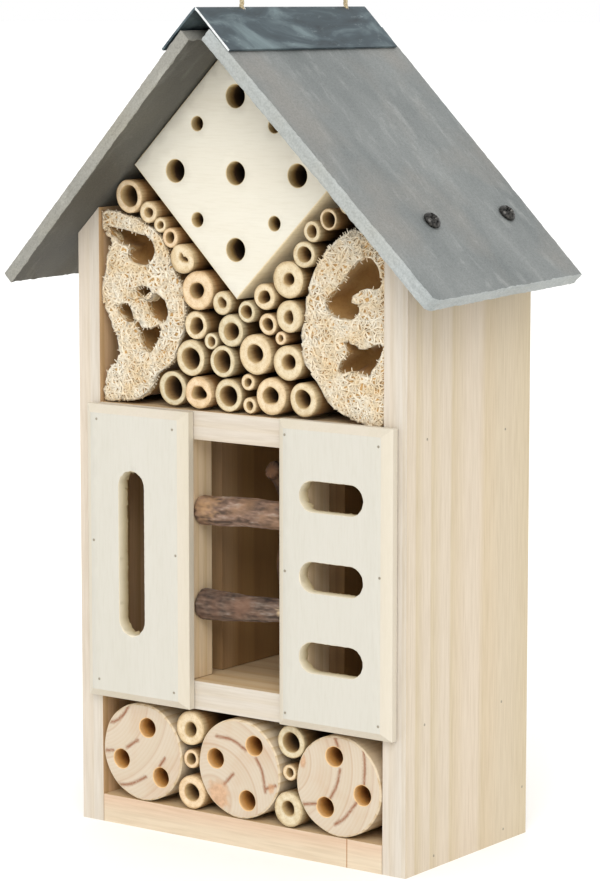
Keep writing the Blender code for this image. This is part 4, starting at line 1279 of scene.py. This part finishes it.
def net(name, loops, spacing, thickness, front, walls, jitter, seed, fibre):
    """A layer of matted fibre: a loose net over the face, turned in a little way down its edge and chambers."""
    chance = random.Random(seed)
    loops = [finer(loop, spacing) for loop in loops]
    flat, triangles = fill(loops, spacing, chance)
    rim = sum(len(loop) for loop in loops)
    points = []
    for i, p in enumerate(flat):
        lift = noise.noise(Vector((p.x, p.y, seed)) * 110) * 0.5 * MM + chance.uniform(-jitter, jitter)
        sway = Vector((chance.uniform(-1, 1), chance.uniform(-1, 1))) * (0.1 if i < rim else 0.25) * spacing
        points.append(Vector((p.x + sway.x, front + 0.5 * MM + lift, p.y + sway.y)))
    faces = list(triangles)
    first = 0
    for number, loop in enumerate(loops):
        count = len(loop)
        here = first
        for row in range(1, walls + 1):
            after = len(points)
            grow = (-0.15 * row if number == 0 else 0.1 * row) * spacing
            for i, p in enumerate(offset(loop, grow)):
                down = front + row * spacing * 0.85 + chance.uniform(-0.25, 0.25) * spacing
                x = p.x + chance.uniform(-0.2, 0.2) * spacing
                points.append(Vector((x, down, p.y + chance.uniform(-0.2, 0.2) * spacing)))
            for i in range(count):
                j = (i + 1) % count
                faces.append((here + i, here + j, after + j))
                faces.append((here + i, after + j, after + i))
            here = after
        first += count
    work = bmesh.new()
    verts = [work.verts.new(p) for p in points]
    for face in faces:
        work.faces.new([verts[i] for i in face])
    bmesh.ops.recalc_face_normals(work, faces=work.faces)
    inner = [edge for edge in work.edges if len(edge.link_faces) == 2 and chance.random() < 0.3]
    bmesh.ops.dissolve_edges(work, edges=inner, use_verts=False)
    mesh = bpy.data.meshes.new(name)
    work.to_mesh(mesh)
    work.free()
    sheet = put(name, mesh)
    strands = sheet.modifiers.new("strands", "WIREFRAME")
    strands.thickness = thickness
    strands.use_even_offset = False
    strands.use_replace = True
    settle(sheet)
    sheet.data.materials.clear()
    sheet.data.materials.append(fibre)
    sheet.data.shade_smooth()
    # Painted shade: the strands darken with their depth behind the face.
    depths = [(v.co.y - front - 0.6 * MM) / (9 * MM) for v in sheet.data.vertices]
    mark(sheet, "depth", [max(0.0, min(1.0, depth)) for depth in depths])
    return sheet


def loofah_core(name, outline, chambers, back, fibre):
    """The matted body just under the net. Its seed chambers are hollows with rounded floors."""
    outer = [
        (offset(outline, -1.6 * MM), 0.0), (offset(outline, -0.9 * MM), 0.8 * MM),
        (offset(outline, -0.8 * MM), 8 * MM),
        (offset(outline, -1.0 * MM), 30 * MM), (offset(outline, -1.2 * MM), back - LOOFAH_FRONT - 0.8 * MM),
    ]
    hollow = ((1.0, 0.9), (1.0, 2.5), (0.98, 4.5), (0.94, 6.5), (0.86, 8.5), (0.72, 10.2), (0.5, 11.4),
              (0.25, 12.0))
    holes = []
    for loop in chambers:
        middle = sum(loop, Vector((0, 0))) / len(loop)
        loop = offset(loop, 0.6 * MM)
        stations = [(offset(loop, 0.7 * MM), 0.0)]
        for step, (share, down) in enumerate(hollow):
            lumpy = []
            for p in loop:
                bump = 1 + 0.07 * noise.noise(Vector((p.x * 160, p.y * 160, step * 0.8)))
                lumpy.append(middle + (p - middle) * share * bump)
            stations.append((lumpy, down * MM))
        holes.append(stations)
    relief = lambda a, b: 0.35 * MM * (1 + noise.noise(Vector((a, b, 2)) * 420))
    core = carve(name, outer, holes, to_front(LOOFAH_FRONT + 0.5 * MM), [fibre] * 4, 1.3 * MM, relief,
                 crease=180)
    # Painted shade: the flesh darkens with depth, so the chambers go brown.
    mark(core, "depth", [min(1.0, 0.3 + (v.co.y - LOOFAH_FRONT) / (15 * MM)) for v in core.data.vertices])
    return core


def loofah_hairs(name, outline, chambers, fibre, comb, seed):
    """Loose cut fibres: short hairs round the rim and the chambers, combed upward along the top edge."""
    chance = random.Random(seed)
    points, faces = [], []
    for number, loop in enumerate([outline, *chambers]):
        loop = finer(loop, 1.0 * MM)
        out = offset(loop, 1.0)
        for p, beyond in zip(loop, out):
            if chance.random() < (0.3 if number == 0 else 0.8):
                continue
            away = (beyond - p).normalized() * (1 if number == 0 else -1)
            angle = math.atan2(away.y, away.x)
            long = comb[0] < angle < comb[1] and number == 0
            length = chance.uniform(1.8, 4.0) * MM if long else chance.uniform(0.6, 1.8) * MM
            lean = Vector((chance.uniform(-0.6, 0.6), chance.uniform(-0.6, 0.6)))
            start = p - away * 1.2 * MM
            reach = 0.35 if number == 0 and not long else 0.8
            tip = p + (away * reach + lean * 0.7).normalized() * length * (0.45 if number == 0 else 0.9)
            down = LOOFAH_FRONT + chance.uniform(0.1, 2.6) * MM
            middle = (start + tip) / 2 + lean * 0.3 * MM
            path = [
                Vector((start.x, down + 0.8 * MM, start.y)),
                Vector((middle.x, down, middle.y)),
                Vector((tip.x, down + chance.uniform(-0.2, 0.6) * MM, tip.y)),
            ]
            tube(open_curve(path, 2), lambda t: (0.36 - 0.18 * t) * MM, 5, points, faces)
    for i, p in enumerate(points):
        x = max(-SIDE_INNER_X, min(SIDE_INNER_X, p.x))
        z = max(SHELF_TOP_Z, min(APEX_Z - abs(p.x) - 0.6 * MM, p.z))
        points[i] = Vector((x, max(LOOFAH_FRONT - 0.4 * MM, p.y), z))
    made = shape(name, points, faces, [fibre], crease=180)
    mark(made, "depth", [0.05] * len(points))
    return made


def smooth_loop(corners):
    """A smooth loop in metres through corners in millimetres, counter-clockwise."""
    loop = closed_curve([Vector(p) * MM for p in corners], 3)
    if sum(a.x * b.y - b.x * a.y for a, b in zip(loop, [*loop[1:], loop[0]])) < 0:
        loop.reverse()
    return loop


def loofahs():
    fibre = loofah_fibre("dried_loofah_fibre", "94703E", "DBC8A2", "EEE5D2")
    flesh = loofah_fibre("matted_loofah_flesh", "82602F", "C09C66", "E2CEA8")
    for seed, (name, facts) in enumerate(LOOFAHS.items(), 1):
        outline = smooth_loop(facts["outline"])
        chambers = [smooth_loop(loop) for loop in facts["chambers"]]
        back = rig.box(name)[1].y
        dress(loofah_core(f"{name}_flesh", outline, chambers, back, flesh), "loofah", name)
        skin = [offset(outline, -0.5 * MM), *[offset(loop, 0.7 * MM) for loop in chambers]]
        dress(net(f"{name}_net", skin, 2.3 * MM, 1.35 * MM, LOOFAH_FRONT, 3, 0.3 * MM, seed, fibre),
              "loofah", name)
        under = [offset(outline, -0.8 * MM), *[offset(loop, 0.9 * MM) for loop in chambers]]
        deeper = LOOFAH_FRONT + 0.4 * MM
        mat = net(f"{name}_under_net", under, 1.7 * MM, 1.2 * MM, deeper, 4, 0.25 * MM, seed + 4, fibre)
        dress(mat, "loofah", name)
        dress(loofah_hairs(f"{name}_hairs", outline, chambers, fibre, facts["comb"], seed), "loofah", name)


# ---------------------------------------------------------------- the sticks

BAY_EDGE = 26.1
STICKS = {
    "upper_stick": {
        "knots": [(-BAY_EDGE, -40.6, 149.0), (-12, -40.8, 149.5), (0, -40.9, 150.1), (12, -40.8, 150.3),
                  (BAY_EDGE, -40.6, 150.6)],
        "radii": (6.9, 6.4), "seed": 3, "bare": [(-20.0, -46.0, 152.0, 9.0)],
    },
    "lower_stick": {
        "knots": [(-BAY_EDGE, -39.8, 106.2), (-16, -39.7, 106.3), (-4, -39.6, 106.6), (12, -39.8, 107.6),
                  (BAY_EDGE, -40.0, 109.0)],
        "radii": (7.5, 4.9), "seed": 5, "bare": [(21.5, -45.0, 107.5, 3.6)],
    },
    "crooked_stick": {
        "knots": [(12, -20, 75), (9.9, -22, 95), (11.5, -22.5, 109), (8.9, -24, 124), (12, -25, 142),
                  (11, -26, 158),
                  (8.8, -30, 167), (7.9, -34.3, 169.4)],
        "radii": (4.9, 4.3), "seed": 8, "bare": [(7.9, -36.0, 169.6, 5.0)],
    },
}


def bark_stick(name, facts, bark):
    """A dry twig: long furrows, flaking ridges and gentle lumps, closed by rounded ends."""
    path = open_curve([Vector(k) * MM for k in facts["knots"]], 26)
    seed = facts["seed"]
    sides = 64
    count = len(path)
    points, faces, relief, bare = [], [], [], []
    side = Vector((0, 1, 0))
    start, end = facts["radii"]
    gone = 0.0
    for k, here in enumerate(path):
        gone += (here - path[k - 1]).length if k else 0.0
        ahead = (path[min(k + 1, count - 1)] - path[max(k - 1, 0)]).normalized()
        side = (side - ahead * side.dot(ahead)).normalized()
        other = ahead.cross(side)
        t = k / (count - 1)
        radius = (start + (end - start) * t) * MM
        edge = min(gone, (path[-1] - here).length)
        dome = math.sqrt(max(0.0, 1 - max(0.0, 1 - edge / (1.6 * MM)) ** 2)) * 0.16 + 0.84
        for i in range(sides):
            angle = 2 * math.pi * i / sides
            round_ = Vector((math.cos(angle) * 3.2, math.sin(angle) * 3.2, gone * 90 + seed * 9))
            furrow = noise.noise(round_) + 0.6 * noise.noise(round_ * 2.3 + Vector((5, 0, 0)))
            flake = noise.noise(Vector((math.cos(angle) * 7, math.sin(angle) * 7, gone * 420 + seed)))
            lump = noise.noise(Vector((math.cos(angle), math.sin(angle), gone * 55 + seed * 3)))
            height = furrow * 0.32 + flake * 0.18
            reach = radius * dome * (1 + 0.05 * lump) + height * MM - 0.25 * MM
            place = here + (side * math.cos(angle) + other * math.sin(angle)) * reach
            points.append(place)
            relief.append(max(0.0, min(1.0, 0.5 + height * 1.3)))
            worn = 0.0
            for x, y, z, size in facts["bare"]:
                away = (place - Vector((x, y, z)) * MM).length / (size * MM)
                worn = max(worn, min(0.8, (1.0 - away + 0.6 * flake) * 0.9))
            bare.append(max(0.0, worn))
    faces += bands(0, sides, count)
    for ring in (0, count - 1):
        centre = len(points)
        points.append(path[ring])
        relief.append(0.6)
        bare.append(0.5)
        for i in range(sides):
            faces.append((ring * sides + i, ring * sides + (i + 1) % sides, centre))
    made = shape(name + "_twig", points, faces, [bark], crease=60)
    mark(made, "relief", relief)
    mark(made, "bare", bare)
    dress(made, "bark", name)


def bark_sticks():
    barks = {
        "upper_stick": rough_bark("brown_hazel_bark", "5A483C", "8E7260", "AC9C8E", "9C7858", "AA8660"),
        "lower_stick": rough_bark("grey_hazel_bark", "3C312B", "6E5A4C", "93857A", "84604A", "DCC29A"),
        "crooked_stick": rough_bark("shaded_hazel_bark", "2C2018", "4E3828", "604C3C", "6E4A2C", "7C5434"),
    }
    for name, facts in STICKS.items():
        bark_stick(name, facts, barks[name])


# ---------------------------------------------------------------- the roof

ROOT_HALF = math.sqrt(0.5)
SCREW_DOWN_SLOPE = 84 * MM / ROOT_HALF
SCREW_Y = 29.5 * MM
SLATES = {
    "left_slate": (-1, 6.0 * MM, [(4.0, -78.6), (159.6, -69.0), (156.4, 50.8), (4.0, 51.4)]),
    "right_slate": (1, 6.8 * MM, [(4.0, -77.6), (158.4, -69.4), (160.2, -66.0), (156.2, 51.2), (4.0, 51.6)]),
}


# The broken edges: dark, light, streak and mineral tones. The left one is darker and warmer.
EDGE_TONES = {"left": ("8E8C84", "A5A298", "BAB7AC", "989281"),
              "right": ("9FA4A3", "B2B6B4", "C6C9C7", "A9A89E")}


def on_slope(side, height):
    """(down the slope, y, depth below the slate's upper face) in the row frame."""
    def place(down, y, depth):
        rise = height - depth
        return Vector((side * (down + rise) * ROOT_HALF, y, APEX_Z + (rise - down) * ROOT_HALF))
    return place


def slate(name, skins):
    side, thickness, corners = SLATES[name]
    loop = finer([Vector(c) * MM for c in corners], 1.6 * MM)
    seed = 11 if side > 0 else 23

    def split(down, chip):
        """The edge as it broke at one depth: each layer of stone stops in a slightly different place."""
        reach = []
        for p in loop:
            at = Vector((p.x, p.y, down * 3))
            broad = 0.5 + 0.5 * noise.noise(at * 70 + Vector((seed, 0, 0)))
            sharp = abs(noise.noise(at * 420 + Vector((0, seed, 0))))
            reach.append(-(0.25 * broad + chip * (0.35 * broad + sharp)) * MM)
        return offset(loop, reach)

    layers = [(0.0, 1.1), (0.06, 0.55), (0.2, 0.35), (0.22, 0.15), (0.5, 0.25), (0.52, 0.5), (0.78, 0.3),
              (0.8, 0.15),
              (0.95, 0.6), (1.0, 1.3)]
    outer = [(split(share * thickness, chip), share * thickness) for share, chip in layers]
    holes = []
    for y in (-SCREW_Y, SCREW_Y):
        ring = circle((SCREW_DOWN_SLOPE, y), 2.1 * MM, 20)
        holes.append([(offset(ring, 0.3 * MM), 0.0), (ring, 0.4 * MM), (ring, thickness)])

    def cleft(a, b):
        """Riven stone: wide shallow steps where layers have lifted, and fine grit."""
        broad = noise.noise(Vector((a * 14, b * 20, seed)))
        broad += 0.4 * noise.noise(Vector((a * 50, b * 60, seed)))
        step = math.floor(broad * 3) / 3
        return (0.3 - 0.22 * step + 0.06 * noise.noise(Vector((a, b, seed)) * 300)) * MM

    made = carve(
        name + "_stone", outer, holes, on_slope(side, thickness), skins, 2.2 * MM, cleft, seed, crease=28
    )
    dress(made, "slate", name)


def screw(name, slope_side, y, thickness, steel):
    """A dome-headed screw with a pressed cross recess."""
    place = on_slope(slope_side, thickness)
    profile = [(1.6, 7.0), (1.6, -0.3), (4.1, -0.3), (4.2, -0.6), (4.1, -1.1), (3.6, -1.9), (2.9, -2.45),
               (2.0, -2.75),
               (1.0, -2.88)]
    sides = 48
    points, faces = [], []
    for radius, depth in profile:
        for i in range(sides):
            angle = 2 * math.pi * i / sides
            across, along = radius * math.cos(angle), radius * math.sin(angle)
            # The cross lies near the slope's own directions: its arms are 1.3 mm wide and 5 mm long.
            arm = min(abs(across), abs(along)) < 0.75 and radius < 2.6 and depth < 0
            points.append(place(SCREW_DOWN_SLOPE + across * MM, y + along * MM,
                                (depth + (1.3 if arm else 0.0)) * MM))
    faces += bands(0, sides, len(profile))
    faces.append(tuple(range(sides)))
    tip = len(points)
    points.append(place(SCREW_DOWN_SLOPE, y, -1.3 * MM))
    last = (len(profile) - 1) * sides
    faces += [(last + i, last + (i + 1) % sides, tip) for i in range(sides)]
    dress(shape(name + "_head", points, faces, [steel], crease=40), "screw_steel", name)


def ridge_cap(zinc, bright):
    """A strip of sheet folded over the ridge. Its flaps wave a little, away from the slates."""
    low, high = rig.box("ridge_cap")
    outer_z = CAP_INNER_Z * MM + 1.0 * MM / ROOT_HALF
    flap = high.x / ROOT_HALF
    fold = 0.5 * MM
    half = [flap * (i / 14) ** 1.6 for i in range(1, 15)]
    across = [-s for s in half[::-1]] + [0.0] + half
    rows = 46
    points, faces, skins = [], [], []
    for row in range(rows + 1):
        y = low.y + (high.y - low.y) * row / rows
        for layer in (0.0, 1.0):
            for s in across:
                x = s * ROOT_HALF
                rounded = math.hypot(x, fold)
                wave = 0.35 * MM * max(0.0, noise.noise(Vector((s * 40, y * 34, 4))))
                wave *= min(1.0, abs(s) / flap * 1.4)
                inward = (layer * 0.95 * MM + 0.12 * MM - wave) * ROOT_HALF
                lean = max(-1.0, min(1.0, s / (3 * MM)))
                points.append(Vector((x - inward * lean, y, outer_z - rounded - inward * (2 - abs(lean)))))
    width = len(across)
    for row in range(rows):
        for layer in (0, 1):
            for i in range(width - 1):
                here = (row * 2 + layer) * width + i
                after = here + 2 * width
                faces.append((here, here + 1, after + 1, after))
                skins.append(0)
    for row in range(rows):
        for i in (0, width - 1):
            here = row * 2 * width + i
            faces.append((here, here + width, here + 3 * width, here + 2 * width))
            skins.append(0)
    for row in (0, rows):
        for i in range(width - 1):
            here = row * 2 * width + i
            faces.append((here, here + 1, here + width + 1, here + width))
            # Painted light: only the right, lit half of each end edge takes the bright metal; the left half keeps the
            # patina.
            skins.append(1 if i >= width // 2 else 0)
    cap = shape("zinc_ridge_cap", points, faces, [zinc, bright], skins, crease=50)
    for y in (TWINE_FRONT_Y, TWINE_REAR_Y):
        rings = []
        for z in (CAP_INNER_Z * MM - 5 * MM, CAP_INNER_Z * MM + 5 * MM):
            rings += [Vector((p.x, p.y, z)) for p in circle((0, y * MM), 1.6 * MM, 20)]
        ends = [tuple(range(20)), tuple(range(20, 40))]
        punch = shape("twine_punch", rings, [*band(0, 20, 20), *ends], [bright])
        hole = cap.modifiers.new("twine_hole", "BOOLEAN")
        hole.operation = "DIFFERENCE"
        hole.solver = "EXACT"
        hole.object = punch
        settle(cap)
        bpy.data.objects.remove(punch)
    dress(cap, "ridge_metal", "ridge_cap")


def roof():
    steel = black_steel("blackened_screw_steel", "1C1B1A", 0.3)
    for word, side in (("left", -1), ("right", 1)):
        skins = [
            split_slate(f"riven_slate_{word}_face", side, "6B706F", "898C8A", "A2A4A1", "8C8881"),
            split_slate(f"broken_slate_{word}_edge", side, *EDGE_TONES[word]),
            split_slate(f"shaded_slate_{word}_underside", side, "4E4C45", "65635B", "77766D", "605C50"),
            split_slate(f"broken_slate_{word}_eave", side, "8D9590", "A0A8A2", "B4BAB4", "9A9A8C"),
        ]
        slate(f"{word}_slate", skins)
        for place, y in (("front", -SCREW_Y), ("rear", SCREW_Y)):
            screw(f"{word}_{place}_screw", side, y, SLATES[f"{word}_slate"][1], steel)
    ridge_cap(weathered_zinc(), sheared_zinc())


# ---------------------------------------------------------------- the whole


def build():
    set_camera()
    hanging_loop(jute())
    set_studio()
    dress_case()
    nail = black_steel("dull_brad_steel", "948C7C", 0.5, "B4AC9A")
    front_panels(nail)
    drilled_block()
    log_slices()
    reeds()
    loofahs()
    bark_sticks()
    roof()


build()

low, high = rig.bounds()
with open("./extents.json", "w") as sizes:
    json.dump({"cad": [list(frame_low), list(frame_high)], "visual": [list(low), list(high)]}, sizes)
